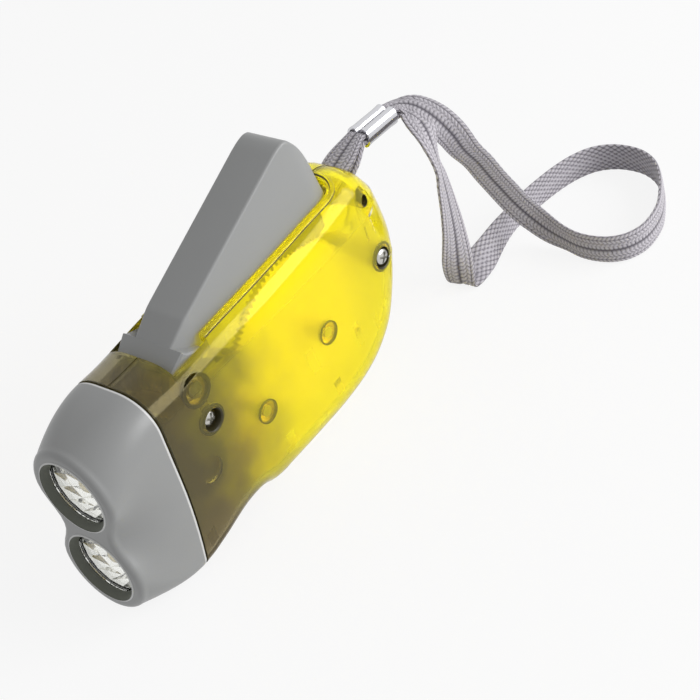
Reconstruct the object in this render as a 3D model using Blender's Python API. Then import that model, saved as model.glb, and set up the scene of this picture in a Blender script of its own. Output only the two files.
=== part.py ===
"""Squeeze-dynamo torch: a clear moulded body in two halves, a grey twin-lens nose, a hinged hand
lever that drives a rotor through a toothed sector and two gears, and a flat wrist strap.

Metres. +X runs from the lenses to the strap end, -Y is the screw side, +Z is up (the lever side).
The torch lies on its belly at z = 0, with the lever sprung open. The places below are written
from the middle of the back, and the last step carries the whole torch to the origin.
"""
import math

import bmesh
import bpy
import numpy as np
from mathutils import Matrix, Vector

# Body
JOINT_X = -0.0299            # where the nose meets the body
BODY_LENGTH = 0.0812         # from there to the tail
BODY_HEIGHT = 0.0510
BODY_WIDTH = 0.0250
WALL = 0.0016
EDGE_ROUND = 0.0080          # how far the rounding runs in from the outline
BELLY_EDGE_ROUND = 0.0038    # on the belly beside the nose
SPLIT_GAP = 0.0003
JOINT_GAP = 0.0003
FIT_GAP = 0.0003             # between pieces that rest on each other
CUT_OVERRUN = 0.0030         # how far a cutter runs past what it cuts
MERGE = 1e-7                 # points closer than this are one
CURVE_STEPS = 24             # between two given points of a smooth curve, before it is evened out
LIP_REACH = 0.0012           # of the body's inner lip into the nose
LIP_ROOT = 0.0010            # how far back the lip is fused to the body's wall
LIP_WALL = 0.0012

# Lever slot in the body, with its raised rim
SLOT_GAP = 0.0005
SLOT_REAR = 0.0370
RIM_WIDTH = 0.0013
RIM_SINK = 0.0014            # top of the rim below the middle line of the back
RIM_DEPTH = 0.0060
REAR_RIM_SINK = 0.0004

# Nose
NOSE_REACH = 0.0182          # joint to the front plane, at the middle height
NOSE_MID_Z = 0.0232
LENS_PITCH = 0.0197
LENS_RAKE = math.radians(3.5)
SNOUT_RADIUS = 0.0108
WAIST_HALF_WIDTH = 0.0075
FRONT_ROUND = 0.0015
NOSE_CAVITY_SHARE = 0.62
MOUTH_RADIUS = 0.0084
SEAT_RADIUS = 0.0074
RECESS_DEPTH = 0.0036

# Lenses, reflectors, lamps and their board
LENS_RADIUS = 0.0080
LENS_THICKNESS = 0.0012
REFLECTOR_DEPTH = 0.0058
REFLECTOR_WALL = 0.0007
REFLECTOR_THROAT = 0.0029
LED_RADIUS = 0.0025
LED_FLANGE_RADIUS = 0.0029
LED_FLANGE = 0.0008
LED_LENGTH = 0.0066
LED_LEG = 0.0005
LED_LEG_SPREAD = 0.00254
BOARD_THICKNESS = 0.0012
BOARD_HALF_WIDTH = 0.0090
BOARD_LOW_Z = 0.0082
BOARD_TOP_Z = 0.0400

# Cells
CELL_RADIUS = 0.0058
CELL_THICKNESS = 0.0050
CELL_COUNT = 3
CELL_AXIS_X = -0.0217
CELL_AXIS_Z = 0.0205
CUP_WALL = 0.0009
CONTACT_RADIUS = 0.0046
CONTACT_THICKNESS = 0.0003
CELL_PAD_RADIUS = 0.0030

# Lever and its hinge
PIVOT_X = -0.0182
PIVOT_Z = 0.0400
LEVER_SWING = math.radians(16.5)
PIVOT_PIN_RADIUS = 0.0015
PIVOT_BOSS_RADIUS = 0.0030
PIVOT_BOSS_END = 0.0075
CHEEK_RADIUS = 0.0034
CHEEK_INNER = 0.0046
LEVER_WALL = 0.0014
LEVER_HALF_WIDTH = 0.0070    # where it enters the body
CREST_HALF_WIDTH = 0.0050
FOOT_FRONT_X = -0.0200
FOOT_FRONT_HALF_WIDTH = 0.0074
FOOT_HALF_WIDTH = 0.0088
FOOT_RIDGE_HALF_WIDTH = 0.0076
FOOT_LENGTH = 0.0084
FOOT_LOW_Z = 0.0436
FOOT_TOP_Z = 0.0446
CREASE_X = -0.0114
CREASE_Z = 0.0502
CREST_X = 0.0256
CREST_Z = 0.0660
TIP_X = 0.0306
TIP_Z = 0.0657
TAIL_X = 0.0325
TAIL_Z = 0.0505
TAIL_LOW_Z = 0.0470
CREST_ROUND = 0.0009

# Return spring round the hinge pin
SPRING_WIRE = 0.0007
SPRING_RADIUS = 0.0026
SPRING_TURNS = 4.5
SPRING_LENGTH = 0.0070
SPRING_LEG = 0.0050

# Gears
PRESSURE_ANGLE = math.radians(20)
SECTOR_MODULE = 0.0008
SECTOR_TEETH = 113           # in a whole ring
SECTOR_SPACES = 8            # cut in the lever's sector
PINION_TEETH = 10
GEAR_MODULE = 0.0005
GEAR_TEETH = 76
ROTOR_PINION_TEETH = 17
TRAIN_ANGLE = math.radians(-22.9)     # from the lever hinge to the gear axle
ROTOR_ANGLE = math.radians(187.6)     # from the gear axle to the rotor axle
BACKLASH_SHARE = 0.16                 # of a tooth's thickness
ADDENDUM_SHARE = 1.0                  # of a module
DEDENDUM_SHARE = 1.3
RING_ADDENDUM_SHARE = 0.75
SECTOR_HALF_THICKNESS = 0.0015
SECTOR_RIM = 0.0063          # pitch line to the outer edge
SECTOR_TAIL = math.radians(1.2)       # of plain plate past the last space
SECTOR_WEB = 0.0067          # how far the web reaches in from the pitch line
SECTOR_WEB_START = math.radians(0.9)
GEAR_LOW_Y = -0.0043
GEAR_FACE = 0.0018
PINION_HALF_FACE = 0.0020
AXLE_RADIUS = 0.0010
AXLE_HALF_LENGTH = 0.0103
AXLE_BOSS_RADIUS = 0.0025
RATCHET_TEETH = 12
RATCHET_RADIUS = 0.0046
RATCHET_DEPTH = 0.0008
RATCHET_RECESS_RADIUS = 0.0072
RATCHET_RECESS_DEPTH = 0.0011
PAWL_LENGTH = 0.0040
PAWL_WIDTH = 0.0012
PAWL_COUNT = 2

# Rotor and stator
ROTOR_HUB_RADIUS = 0.0022
ROTOR_PINION_FACE = 0.0023
ROTOR_PINION_LOW_Y = -0.0046
FLYWHEEL_RADIUS = 0.0087
FLYWHEEL_LOW_Y = -0.0016
FLYWHEEL_THICKNESS = 0.0020
MAGNET_RADIUS = 0.0075
MAGNET_LOW_Y = 0.0012
MAGNET_THICKNESS = 0.0056
AIR_GAP = 0.0005
SHOE_THICKNESS = 0.0020
SHOE_TOP = math.radians(55)
SHOE_LOW = math.radians(-50)
CORE_LOW_Y = 0.0015
CORE_HIGH_Y = 0.0065
CORE_ARM = 0.0028
YOKE_LOW_Z = 0.0072
YOKE_HIGH_Z = 0.0098
BOBBIN_LENGTH = 0.0100
BOBBIN_WALL = 0.0006
BOBBIN_FLANGE = 0.0010
WINDING_DEPTH = 0.0008
CORE_POST_RADIUS = 0.0015

# Screws
FRONT_SCREW_X = -0.0174
FRONT_SCREW_Z = 0.0313
REAR_SCREW_X = 0.0425
REAR_SCREW_Z = 0.0274
SCREW_BOSS_RADIUS = 0.0030
SCREW_REAR_BOSS_RADIUS = 0.0026
SCREW_RECESS_RADIUS = 0.0024
SCREW_HEAD_Y = -0.0086       # outer face of the head
SCREW_HEAD_RADIUS = 0.0020
SCREW_HEAD_HEIGHT = 0.0014
SCREW_SHANK_RADIUS = 0.0011
SCREW_SLOT_WIDTH = 0.0006
SCREW_SLOT_DEPTH = 0.0006
SCREW_END_Y = 0.0050

# Lever lock on the belly
LOCK_X = 0.0222              # front of the thumb pad, unlocked
LOCK_LENGTH = 0.0060
LOCK_TRAVEL = 0.0040
LOCK_HALF_WIDTH = 0.0030
LOCK_PAD_LOW_Z = 0.0009
LOCK_PLATE_LOW_Z = 0.0036
LOCK_PLATE_THICKNESS = 0.0006
LOCK_PLATE_HALF_WIDTH = 0.0038
LOCK_PLATE_INSET = 0.0014    # of the plate's front behind the pad's
LOCK_PLATE_LENGTH = 0.0044
LOCK_FINGER_LOW_Z = 0.0063
LOCK_FINGER_THICKNESS = 0.0012
LOCK_FINGER_REACH = 0.0002   # ahead of the pad
LOCK_FINGER_HALF_WIDTH = 0.0012
LOCK_POST_INSET = 0.0026     # of the finger's post behind the pad's front
LOCK_POST = 0.0016
LOCK_SLOT_GAP = 0.0004
LOCK_RAIL_WIDTH = 0.0012
LOCK_RAIL_HEIGHT = 0.0014

# Switch on the far side
SWITCH_X = -0.0210
SWITCH_Z = 0.0096
SWITCH_HALF_LENGTH = 0.0050
SWITCH_HALF_HEIGHT = 0.0024
SWITCH_LOW_Y = 0.0040
SWITCH_HIGH_Y = 0.0082
SWITCH_TRAVEL = 0.0030
SWITCH_KNOB_LENGTH = 0.0044
SWITCH_KNOB_HEIGHT = 0.0026
SWITCH_KNOB_PROUD_Y = 0.0118
SWITCH_POST_RADIUS = 0.0014
SWITCH_FOOT_GAP = 0.0014

# Wrist strap, its pin and its clamped sleeve
STRAP_WIDTH = 0.0075
STRAP_THICKNESS = 0.0013
STRAP_LAYER_GAP = 0.0003
STRAP_NECK_SHARE = 0.65      # of the strap's width, where the sleeve gathers it
STRAP_GATHER_PLACES = 2      # of the free run, over which it widens again
STRAP_PIN_X = 0.0420
STRAP_PIN_Z = 0.0437
STRAP_PIN_RADIUS = 0.0009
STRAP_PIN_NEAR_Y = -0.0106
STRAP_PIN_FAR_Y = 0.0098
STRAP_BOSS_RADIUS = 0.0020
STRAP_BOSS_END = 0.0047
WINDOW_HALF_WIDTH = 0.0045
WINDOW_HALF_HEIGHT = 0.0028
WINDOW_RISE = math.radians(21)
WINDOW_REACH = 0.0120
WINDOW_START = 0.0020
FERRULE_START = (0.0562, 0.0483)
FERRULE_END = (0.0668, 0.0475)
FERRULE_HALF_WIDTH = 0.0032
FERRULE_HALF_HEIGHT = 0.0022
FERRULE_WALL = 0.0004
FERRULE_MARGIN = 0.0012      # of gathered strap past each end of the sleeve
STRAP_STEPS = 2              # between two places of the free run

# The strap's free run, from the sleeve's upper layer round to its lower one: place, then the way
# that its width points
STRAP_ROUTE = [
    ((0.0700, -0.0008, 0.0478), (-0.3, -0.95, 0)),
    ((0.0715, -0.0028, 0.0473), (-0.75, -0.6, -0.2)),
    ((0.0721, -0.0055, 0.0464), (-0.97, -0.2, -0.2)),
    ((0.0727, -0.0089, 0.0439), (-0.9, 0.2, -0.3)),
    ((0.0740, -0.0113, 0.0395), (-0.7, 0.6, -0.3)),
    ((0.0760, -0.0121, 0.0340), (-0.5, 0.8, -0.25)),
    ((0.0789, -0.0127, 0.0286), (-0.42, 0.88, -0.23)),
    ((0.0813, -0.0133, 0.0228), (-0.42, 0.88, -0.23)),
    ((0.0835, -0.0141, 0.0176), (-0.42, 0.85, -0.3)),
    ((0.0852, -0.0151, 0.0132), (-0.4, 0.8, -0.4)),
    ((0.0864, -0.0167, 0.0096), (-0.4, 0.7, -0.55)),
    ((0.0870, -0.0190, 0.0070), (-0.3, 0.55, -0.78)),
    ((0.0869, -0.0226, 0.0050), (-0.2, 0.3, -0.93)),
    ((0.0861, -0.0275, 0.0042), (0, 0.1, -1.0)),
    ((0.0850, -0.0325, 0.0041), (0, 0, -1.0)),
    ((0.0852, -0.0372, 0.0041), (0, 0, -1.0)),
    ((0.0865, -0.0410, 0.0041), (0, 0, -1.0)),
    ((0.0893, -0.0440, 0.0041), (0, 0, -1.0)),
    ((0.0940, -0.0456, 0.0041), (0, 0, -1.0)),
    ((0.1008, -0.0449, 0.0041), (0, 0, -1.0)),
    ((0.1072, -0.0421, 0.0041), (0, 0, -1.0)),
    ((0.1122, -0.0390, 0.0041), (0, 0, -1.0)),
    ((0.1163, -0.0352, 0.0041), (0, 0, -1.0)),
    ((0.1187, -0.0306, 0.0041), (0, 0, -1.0)),
    ((0.1192, -0.0257, 0.0041), (0, 0, -1.0)),
    ((0.1183, -0.0214, 0.0041), (0, 0, -1.0)),
    ((0.1159, -0.0176, 0.0041), (0, 0, -1.0)),
    ((0.1118, -0.0148, 0.0041), (0, 0, -1.0)),
    ((0.1069, -0.0130, 0.0041), (0, 0, -1.0)),
    ((0.1014, -0.0118, 0.0041), (0, 0, -1.0)),
    ((0.0950, -0.0109, 0.0041), (0, 0, -1.0)),
    ((0.0882, -0.0107, 0.0041), (0, 0, -1.0)),
    ((0.0820, -0.0110, 0.0040), (0, -0.2, -1.0)),
    ((0.0755, -0.0116, 0.0035), (0, -0.5, -0.85)),
    ((0.0706, -0.0113, 0.0025), (0, -0.85, -0.5)),
    ((0.0680, -0.0109, 0.0015), (0.1, -0.98, -0.12)),
    ((0.0665, -0.0106, 0.0013), (0.17, -0.98, 0)),
    ((0.0657, -0.0105, 0.0022), (0.25, -0.96, 0)),
    ((0.0659, -0.0104, 0.0060), (0.6, -0.8, 0)),
    ((0.0666, -0.0104, 0.0110), (0.9, -0.4, 0)),
    ((0.0671, -0.0106, 0.0165), (1.0, -0.09, 0)),
    ((0.0671, -0.0109, 0.0222), (0.99, 0.14, 0)),
    ((0.0670, -0.0111, 0.0270), (0.96, 0.29, 0)),
    ((0.0671, -0.0110, 0.0312), (0.91, 0.42, 0)),
    ((0.0672, -0.0108, 0.0345), (0.82, 0.56, 0)),
    ((0.0673, -0.0105, 0.0380), (0.86, 0.5, 0)),
    ((0.0677, -0.0098, 0.0412), (0.95, 0.3, 0)),
    ((0.0687, -0.0084, 0.0437), (1.0, 0.05, 0)),
    ((0.0698, -0.0060, 0.0454), (1.0, 0.2, 0)),
    ((0.0707, -0.0036, 0.0463), (0.8, 0.6, 0)),
    ((0.0698, -0.0012, 0.0467), (0.3, 0.95, 0)),
]


def clear_scene():
    for item in list(bpy.data.objects):
        bpy.data.objects.remove(item, do_unlink=True)


def finish(name, colour, roughness, metallic=0.0, alpha=1.0):
    """One plain surface for one sub-part."""
    material = bpy.data.materials.new(name)
    material.use_nodes = True
    shader = material.node_tree.nodes["Principled BSDF"]
    shader.inputs["Base Color"].default_value = (*colour, 1.0)
    shader.inputs["Roughness"].default_value = roughness
    shader.inputs["Metallic"].default_value = metallic
    shader.inputs["Alpha"].default_value = alpha
    material.diffuse_color = (*colour, alpha)
    return material


def mesh_object(name, verts, faces, smooth=True):
    mesh = bpy.data.meshes.new(name)
    mesh.from_pydata([tuple(float(v) for v in vert) for vert in verts], [], faces)
    form = bmesh.new()
    form.from_mesh(mesh)
    bmesh.ops.remove_doubles(form, verts=form.verts, dist=MERGE)
    bmesh.ops.recalc_face_normals(form, faces=form.faces)
    form.to_mesh(mesh)
    form.free()
    if smooth:
        mesh.shade_smooth()
        mesh.set_sharp_from_angle(angle=math.radians(35))
    item = bpy.data.objects.new(name, mesh)
    bpy.context.scene.collection.objects.link(item)
    return item


def grid_faces(rows, columns, start=0, wrap=False):
    """Quads between rows of points that are numbered row by row."""
    faces = []
    for row in range(rows - 1):
        for column in range(columns if wrap else columns - 1):
            after = (column + 1) % columns
            low = start + row * columns
            faces.append((low + column, low + after, low + columns + after, low + columns + column))
    return faces


def loft(name, sections):
    """A closed solid through rings of points, with flat ends."""
    rows, columns = len(sections), len(sections[0])
    verts = [point for section in sections for point in section]
    faces = grid_faces(rows, columns, wrap=True)
    faces.append(tuple(range(columns)))
    faces.append(tuple(range(rows * columns - 1, (rows - 1) * columns - 1, -1)))
    return mesh_object(name, verts, faces)


def lathe(name, profile, steps=24, axis="Y", ring=False):
    """A turned solid. The profile is (radius, along), or a closed loop of them for a ring."""
    verts = []
    for radius, along in profile:
        for step in range(steps):
            turn = math.tau * step / steps
            verts.append((radius * math.cos(turn), along, radius * math.sin(turn)))
    rows = len(profile)
    faces = grid_faces(rows, steps, wrap=True)
    if ring:
        for step in range(steps):
            after = (step + 1) % steps
            last = (rows - 1) * steps
            faces.append((last + step, last + after, after, step))
    else:
        faces.append(tuple(range(steps)))
        faces.append(tuple(range(rows * steps - 1, (rows - 1) * steps - 1, -1)))
    item = mesh_object(name, verts, faces)
    if axis == "X":
        item.data.transform(Matrix.Rotation(-math.pi / 2, 4, "Z"))
    return item


def cylinder(name, radius, start, end, centre=(0.0, 0.0), steps=24):
    """A round bar along Y at a point (x, z)."""
    item = lathe(name, [(radius, start), (radius, end)], steps)
    item.data.transform(Matrix.Translation((centre[0], 0.0, centre[1])))
    return item


def tube(name, outer, inner, start, end, centre=(0.0, 0.0), steps=24):
    """A sleeve along Y at a point (x, z), open at both ends."""
    item = lathe(name, [(inner, start), (outer, start), (outer, end), (inner, end)], steps, ring=True)
    item.data.transform(Matrix.Translation((centre[0], 0.0, centre[1])))
    return item


def block(name, low, high):
    """A box between two corners."""
    verts = [(x, y, z) for x in (low[0], high[0]) for y in (low[1], high[1]) for z in (low[2], high[2])]
    faces = [(0, 1, 3, 2), (4, 6, 7, 5), (0, 4, 5, 1), (2, 3, 7, 6), (0, 2, 6, 4), (1, 5, 7, 3)]
    return mesh_object(name, verts, faces, smooth=False)


def prism(name, outline, low, high):
    """An outline in X and Z, carried along Y from low to high."""
    return loft(name, [[(x, y, z) for x, z in outline] for y in (low, high)])


def combine(target, other, operation="DIFFERENCE"):
    """Cut with, or add, another solid, and keep the result in the mesh."""
    change = target.modifiers.new(other.name, "BOOLEAN")
    change.operation = operation
    change.solver = "EXACT"
    change.object = other
    bpy.context.view_layer.update()
    graph = bpy.context.evaluated_depsgraph_get()
    mesh = bpy.data.meshes.new_from_object(target.evaluated_get(graph))
    target.modifiers.remove(change)
    target.data = mesh
    bpy.data.objects.remove(other, do_unlink=True)
    return target


def fuse(target, *others):
    for other in others:
        combine(target, other, "UNION")
    return target


def cut(target, *others):
    for other in others:
        combine(target, other)
    return target


def seat(item, location, rotation=(0.0, 0.0, 0.0)):
    """Put an object that was drawn round its own origin in its place."""
    item.location = location
    item.rotation_euler = rotation
    return item


def centre_on(item, point):
    """Move an object's origin to a point, such as its joint's axis, and leave the shape in place."""
    item.data.transform(Matrix.Translation(-Vector(point)))
    item.location = point
    return item


def dress(item, material):
    item.data.materials.clear()
    item.data.materials.append(material)
    return item


def turned(points, angle, centre):
    """Points (x, z) turned about a centre, where a positive angle takes +X towards -Z."""
    turn = np.array([[math.cos(angle), math.sin(angle)], [-math.sin(angle), math.cos(angle)]])
    return [tuple(turn @ (np.array(point) - centre) + centre) for point in points]


def rounded_line(points, steps):
    """Points on a smooth curve through the given ones, with so many steps between two of them."""
    points = np.array(points, float)
    held = np.vstack([2 * points[0] - points[1], points, 2 * points[-1] - points[-2]])
    line = []
    for index in range(1, len(held) - 2):
        before, first, second, after = held[index - 1:index + 3]
        for step in range(steps):
            t = step / steps
            line.append(0.5 * (2 * first + (second - before) * t
                               + (2 * before - 5 * first + 4 * second - after) * t * t
                               + (3 * first - before - 3 * second + after) * t ** 3))
    line.append(points[-1])
    return np.array(line)


def smooth_line(points, count):
    """Even points (x, z) on a smooth curve through the given ones."""
    fine = rounded_line(points, CURVE_STEPS)
    along = np.concatenate([[0.0], np.cumsum(np.linalg.norm(np.diff(fine, axis=0), axis=1))])
    wanted = np.linspace(0.0, along[-1], count)
    return np.stack([np.interp(wanted, along, fine[:, axis]) for axis in range(fine.shape[1])], 1)


# Body

# Side outline, as shares of the body's length from the joint and of its height
TOP_SHARES = [(0.0, 0.925), (0.09, 0.924), (0.26, 0.943), (0.48, 0.958), (0.71, 0.985), (0.84, 0.997),
              (0.900, 0.976), (0.942, 0.918), (0.975, 0.835)]
TAIL_SHARES = [(0.975, 0.835), (0.987, 0.745), (0.998, 0.610), (0.993, 0.480)]
BELLY_SHARES = [(0.0, 0.004), (0.08, 0.022), (0.17, 0.050), (0.235, 0.046), (0.275, 0.018), (0.32, 0.002),
                (0.36, 0.0), (0.47, 0.0), (0.58, 0.0), (0.70, 0.020), (0.80, 0.068), (0.89, 0.170), (0.950, 0.315),
                (0.993, 0.480)]
# Half width, as shares of half the body's width, by share of length
HALF_WIDTH_SHARES = [(0.0, 0.936), (0.2, 0.975), (0.45, 1.0), (0.7, 0.975), (0.85, 0.92), (1.0, 0.83)]
SIDE_TAPER_SHARE = 0.03      # how much narrower the belly is than the lever side
BELLY_EDGE_SHARE = 0.35      # of the length, where the belly's edge is as round as the rest
EDGE_FLAT_SHARE = 0.22       # of the half width, flat before the edge's rounding starts
EDGE_POWER = 2.2             # 2 is a round edge, more is squarer
EDGE_STEPS = 6
FLAT_STEPS = 3
TAIL_STEPS = 7
LENGTH_STEPS = 18
NOSE_STATIONS = 6
ROUND_STEPS = 3


def body_point(share):
    return (JOINT_X + share[0] * BODY_LENGTH, share[1] * BODY_HEIGHT)


def half_width(x, z):
    share = (x - JOINT_X) / BODY_LENGTH
    shares, widths = zip(*HALF_WIDTH_SHARES)
    taper = 1.0 - SIDE_TAPER_SHARE * (1.0 - z / BODY_HEIGHT)
    return 0.5 * BODY_WIDTH * np.interp(share, shares, widths) * taper


def body_outline():
    top = smooth_line([body_point(share) for share in TOP_SHARES], LENGTH_STEPS + 1)
    tail = smooth_line([body_point(share) for share in TAIL_SHARES], TAIL_STEPS + 1)
    belly = smooth_line([body_point(share) for share in BELLY_SHARES], LENGTH_STEPS + 1)[::-1]
    belly[:, 1] = np.maximum(belly[:, 1], 0.0)
    return np.vstack([top, tail[1:-1], belly])


def back_height(x):
    """Height of the back's middle line."""
    top = smooth_line([body_point(share) for share in TOP_SHARES], LENGTH_STEPS + 1)
    return float(np.interp(x, top[:, 0], top[:, 1]))


def inward_normals(line):
    """Unit vectors that point into the body from each point of its side outline."""
    ahead = np.roll(line, -1, axis=0) - np.roll(line, 1, axis=0)
    ahead[0] = (1.0, 0.0)
    ahead[-1] = (-1.0, 0.0)
    ahead = ahead / np.linalg.norm(ahead, axis=1)[:, None]
    return np.stack([ahead[:, 1], -ahead[:, 0]], 1)


def edge_rounding(line):
    """How far the edge is rounded at each point of the outline. The belly is squarer at the nose."""
    shares = (line[:, 0] - JOINT_X) / BODY_LENGTH
    belly = np.interp(shares, [0.0, BELLY_EDGE_SHARE], [BELLY_EDGE_ROUND, EDGE_ROUND])
    return np.where(line[:, 1] < 0.5 * BODY_HEIGHT, belly, EDGE_ROUND)


def edge_profile():
    """(across share, inward share) of the rounded edge, from the split plane to the flat side."""
    rows = [(0.0, 0.0)]
    for step in range(EDGE_STEPS):
        turn = 0.5 * math.pi * step / (EDGE_STEPS - 1)
        across = EDGE_FLAT_SHARE + (1.0 - EDGE_FLAT_SHARE) * math.sin(turn) ** (2.0 / EDGE_POWER)
        rows.append((across, 1.0 - abs(math.cos(turn)) ** (2.0 / EDGE_POWER)))
    return rows


def body_skin(inset, side, plane, front):
    """Rows of points over one half of the body's skin, moved inwards by inset.

    Each row runs along the side outline, from the joint over the back, round the tail and under
    the belly. The first rows climb the rounded edge, and the last ones close the flat side."""
    line = body_outline()
    inward = inward_normals(line)
    rounding = edge_rounding(line) - inset
    line = line + inward * inset
    rows = []
    for across, deep in edge_profile():
        spot = line + inward * (rounding * deep)[:, None]
        spot[[0, -1], 0] = front
        wide = half_width(spot[:, 0], spot[:, 1]) - inset
        rows.append(np.column_stack([spot[:, 0], side * (plane + (wide - plane) * across), spot[:, 1]]))
    edge = rows[-1][:, [0, 2]]
    spine = 0.5 * (edge + edge[::-1])
    last = LENGTH_STEPS
    spine[last:len(spine) - last] = spine[last]
    for step in range(1, FLAT_STEPS + 1):
        share = step / FLAT_STEPS
        spot = edge * (1.0 - share) + spine * share
        wide = half_width(spot[:, 0], spot[:, 1]) - inset
        rows.append(np.column_stack([spot[:, 0], side * wide, spot[:, 1]]))
    return np.array(rows)


def body_shell(name, side):
    """One half of the body: outer skin, inner skin, and the rims that join them."""
    plane = 0.5 * SPLIT_GAP
    front = JOINT_X + 0.5 * JOINT_GAP
    outer = body_skin(0.0, side, plane, front)
    inner = body_skin(WALL, side, plane, front)
    rows, columns = outer.shape[:2]
    verts = np.vstack([outer[::-1].reshape(-1, 3), inner.reshape(-1, 3)])
    faces = grid_faces(2 * rows, columns)
    for column in (0, columns - 1):
        for row in range(rows - 1):
            near = [(rows - 1 - row - 1) * columns + column, (rows - 1 - row) * columns + column]
            deep = [(rows + row) * columns + column, (rows + row + 1) * columns + column]
            faces.append((near[0], near[1], deep[0], deep[1]))
    return mesh_object(name, verts, faces)


def joint_section(inset):
    """Half of the body's section at the joint, (y, z) from the middle of the back to the belly."""
    skin = body_skin(inset, 1.0, 0.0, JOINT_X)
    back = skin[:, 0, 1:]
    belly = skin[::-1, -1, 1:]
    return np.vstack([back, belly[1:]])


def lip(name, side):
    """Half of a band inside the body's mouth that the nose slides over."""
    outer = joint_section(WALL + FIT_GAP)
    deep = joint_section(WALL + FIT_GAP + LIP_WALL)
    ring = np.vstack([outer, deep[::-1]])
    ring[:, 0] = np.maximum(ring[:, 0], 0.5 * SPLIT_GAP)
    low = JOINT_X - LIP_REACH
    high = JOINT_X + LIP_ROOT
    return loft(name, [[(x, side * y, z) for y, z in ring] for x in (low, high)])


def lip_root(name, side):
    """Half of the band that fuses the lip to the body's wall."""
    outer = joint_section(0.5 * WALL)
    deep = joint_section(WALL + FIT_GAP + LIP_WALL)
    ring = np.vstack([outer, deep[::-1]])
    ring[:, 0] = np.maximum(ring[:, 0], 0.5 * SPLIT_GAP)
    low = JOINT_X + 0.5 * JOINT_GAP
    high = JOINT_X + LIP_ROOT
    return loft(name, [[(x, side * y, z) for y, z in ring] for x in (low, high)])


# Lever slot

def slot_front():
    return FOOT_FRONT_X - SLOT_GAP


def slot_cutters():
    """The long slot, and the wider pocket for the lever's foot."""
    above = BODY_HEIGHT + CUT_OVERRUN
    low = BODY_HEIGHT - RIM_DEPTH - CUT_OVERRUN
    half = LEVER_HALF_WIDTH + SLOT_GAP
    front = slot_front()
    long_slot = block("long_slot", (front, -half, low), (SLOT_REAR, half, above))
    foot_half = FOOT_HALF_WIDTH + SLOT_GAP
    foot_rear = FOOT_FRONT_X + FOOT_LENGTH
    boss_top = PIVOT_Z + PIVOT_BOSS_RADIUS + 0.5 * FIT_GAP
    reach = FOOT_LOW_Z - PIVOT_Z
    floor_start = PIVOT_X + PIVOT_BOSS_RADIUS
    closed = turned([(foot_rear, FOOT_LOW_Z)], LEVER_SWING, (PIVOT_X, PIVOT_Z))[0]
    outline = [(front, boss_top), (floor_start, boss_top),
               (closed[0] + 2 * SLOT_GAP, closed[1] - 2 * SLOT_GAP), (closed[0] + 2 * SLOT_GAP, above),
               (front, above)]
    if reach < PIVOT_BOSS_RADIUS:
        raise ValueError("the lever's foot would strike the hinge boss")
    pocket = prism("foot_pocket", outline, -foot_half, foot_half)
    return [long_slot, pocket]


def slot_rim(name, side):
    """The raised edge along one side of the slot."""
    half = LEVER_HALF_WIDTH + 0.5 * SLOT_GAP
    start = FOOT_FRONT_X + FOOT_LENGTH
    count = 9
    line = [(start + (SLOT_REAR + RIM_WIDTH - start) * step / (count - 1)) for step in range(count)]
    upper = [(x, back_height(x) - RIM_SINK) for x in line]
    lower = [(x, back_height(x) - RIM_DEPTH) for x in reversed(line)]
    low, high = sorted((side * half, side * (LEVER_HALF_WIDTH + SLOT_GAP + RIM_WIDTH)))
    return prism(name, upper + lower, low, high)


def slot_rear_rim(name, side):
    """The raised edge across the slot's rear end."""
    top = back_height(SLOT_REAR) - REAR_RIM_SINK
    low, high = sorted((side * 0.5 * SPLIT_GAP, side * (LEVER_HALF_WIDTH + SLOT_GAP + 0.5 * RIM_WIDTH)))
    return block(name, (SLOT_REAR - 0.5 * RIM_WIDTH, low, top - RIM_DEPTH),
                 (SLOT_REAR + RIM_WIDTH, high, top))


# Places that several pieces share

def gear_centre():
    reach = 0.5 * SECTOR_MODULE * (SECTOR_TEETH - PINION_TEETH)
    return (PIVOT_X + reach * math.cos(TRAIN_ANGLE), PIVOT_Z + reach * math.sin(TRAIN_ANGLE))


def rotor_centre():
    reach = 0.5 * GEAR_MODULE * (GEAR_TEETH + ROTOR_PINION_TEETH)
    x, z = gear_centre()
    return (x + reach * math.cos(ROTOR_ANGLE), z + reach * math.sin(ROTOR_ANGLE))


def gear_far_y():
    return PINION_HALF_FACE + FIT_GAP


def rotor_far_y():
    return MAGNET_LOW_Y + MAGNET_THICKNESS + FIT_GAP


def boss(name, side, centre, radius, end):
    """A round post from inside a half's flat side to y = end."""
    root = side * (half_width(centre[0], centre[1]) - 0.6 * WALL)
    low, high = sorted((root, end))
    return cylinder(name, radius, low, high, centre, steps=16)


def bore(name, centre, radius, low, high):
    return cylinder(name, radius, low, high, centre, steps=14)


def window_cutter():
    """The mouth in the tail that the strap leaves by."""
    ahead = np.array([math.cos(WINDOW_RISE), math.sin(WINDOW_RISE)])
    up = np.array([-ahead[1], ahead[0]])
    pin = np.array([STRAP_PIN_X, STRAP_PIN_Z])
    outline = [pin + ahead * along + up * height
               for along, height in ((WINDOW_START, -WINDOW_HALF_HEIGHT), (WINDOW_REACH, -WINDOW_HALF_HEIGHT),
                                     (WINDOW_REACH, WINDOW_HALF_HEIGHT), (WINDOW_START, WINDOW_HALF_HEIGHT))]
    return prism("window", outline, -WINDOW_HALF_WIDTH, WINDOW_HALF_WIDTH)


def lock_cutter():
    return block("lock_slot",
                 (LOCK_X - LOCK_TRAVEL - LOCK_SLOT_GAP, -LOCK_HALF_WIDTH - LOCK_SLOT_GAP, -CUT_OVERRUN),
                 (LOCK_X + LOCK_LENGTH + LOCK_SLOT_GAP, LOCK_HALF_WIDTH + LOCK_SLOT_GAP,
                  LOCK_PLATE_LOW_Z + 0.5 * LOCK_PLATE_THICKNESS))


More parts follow.
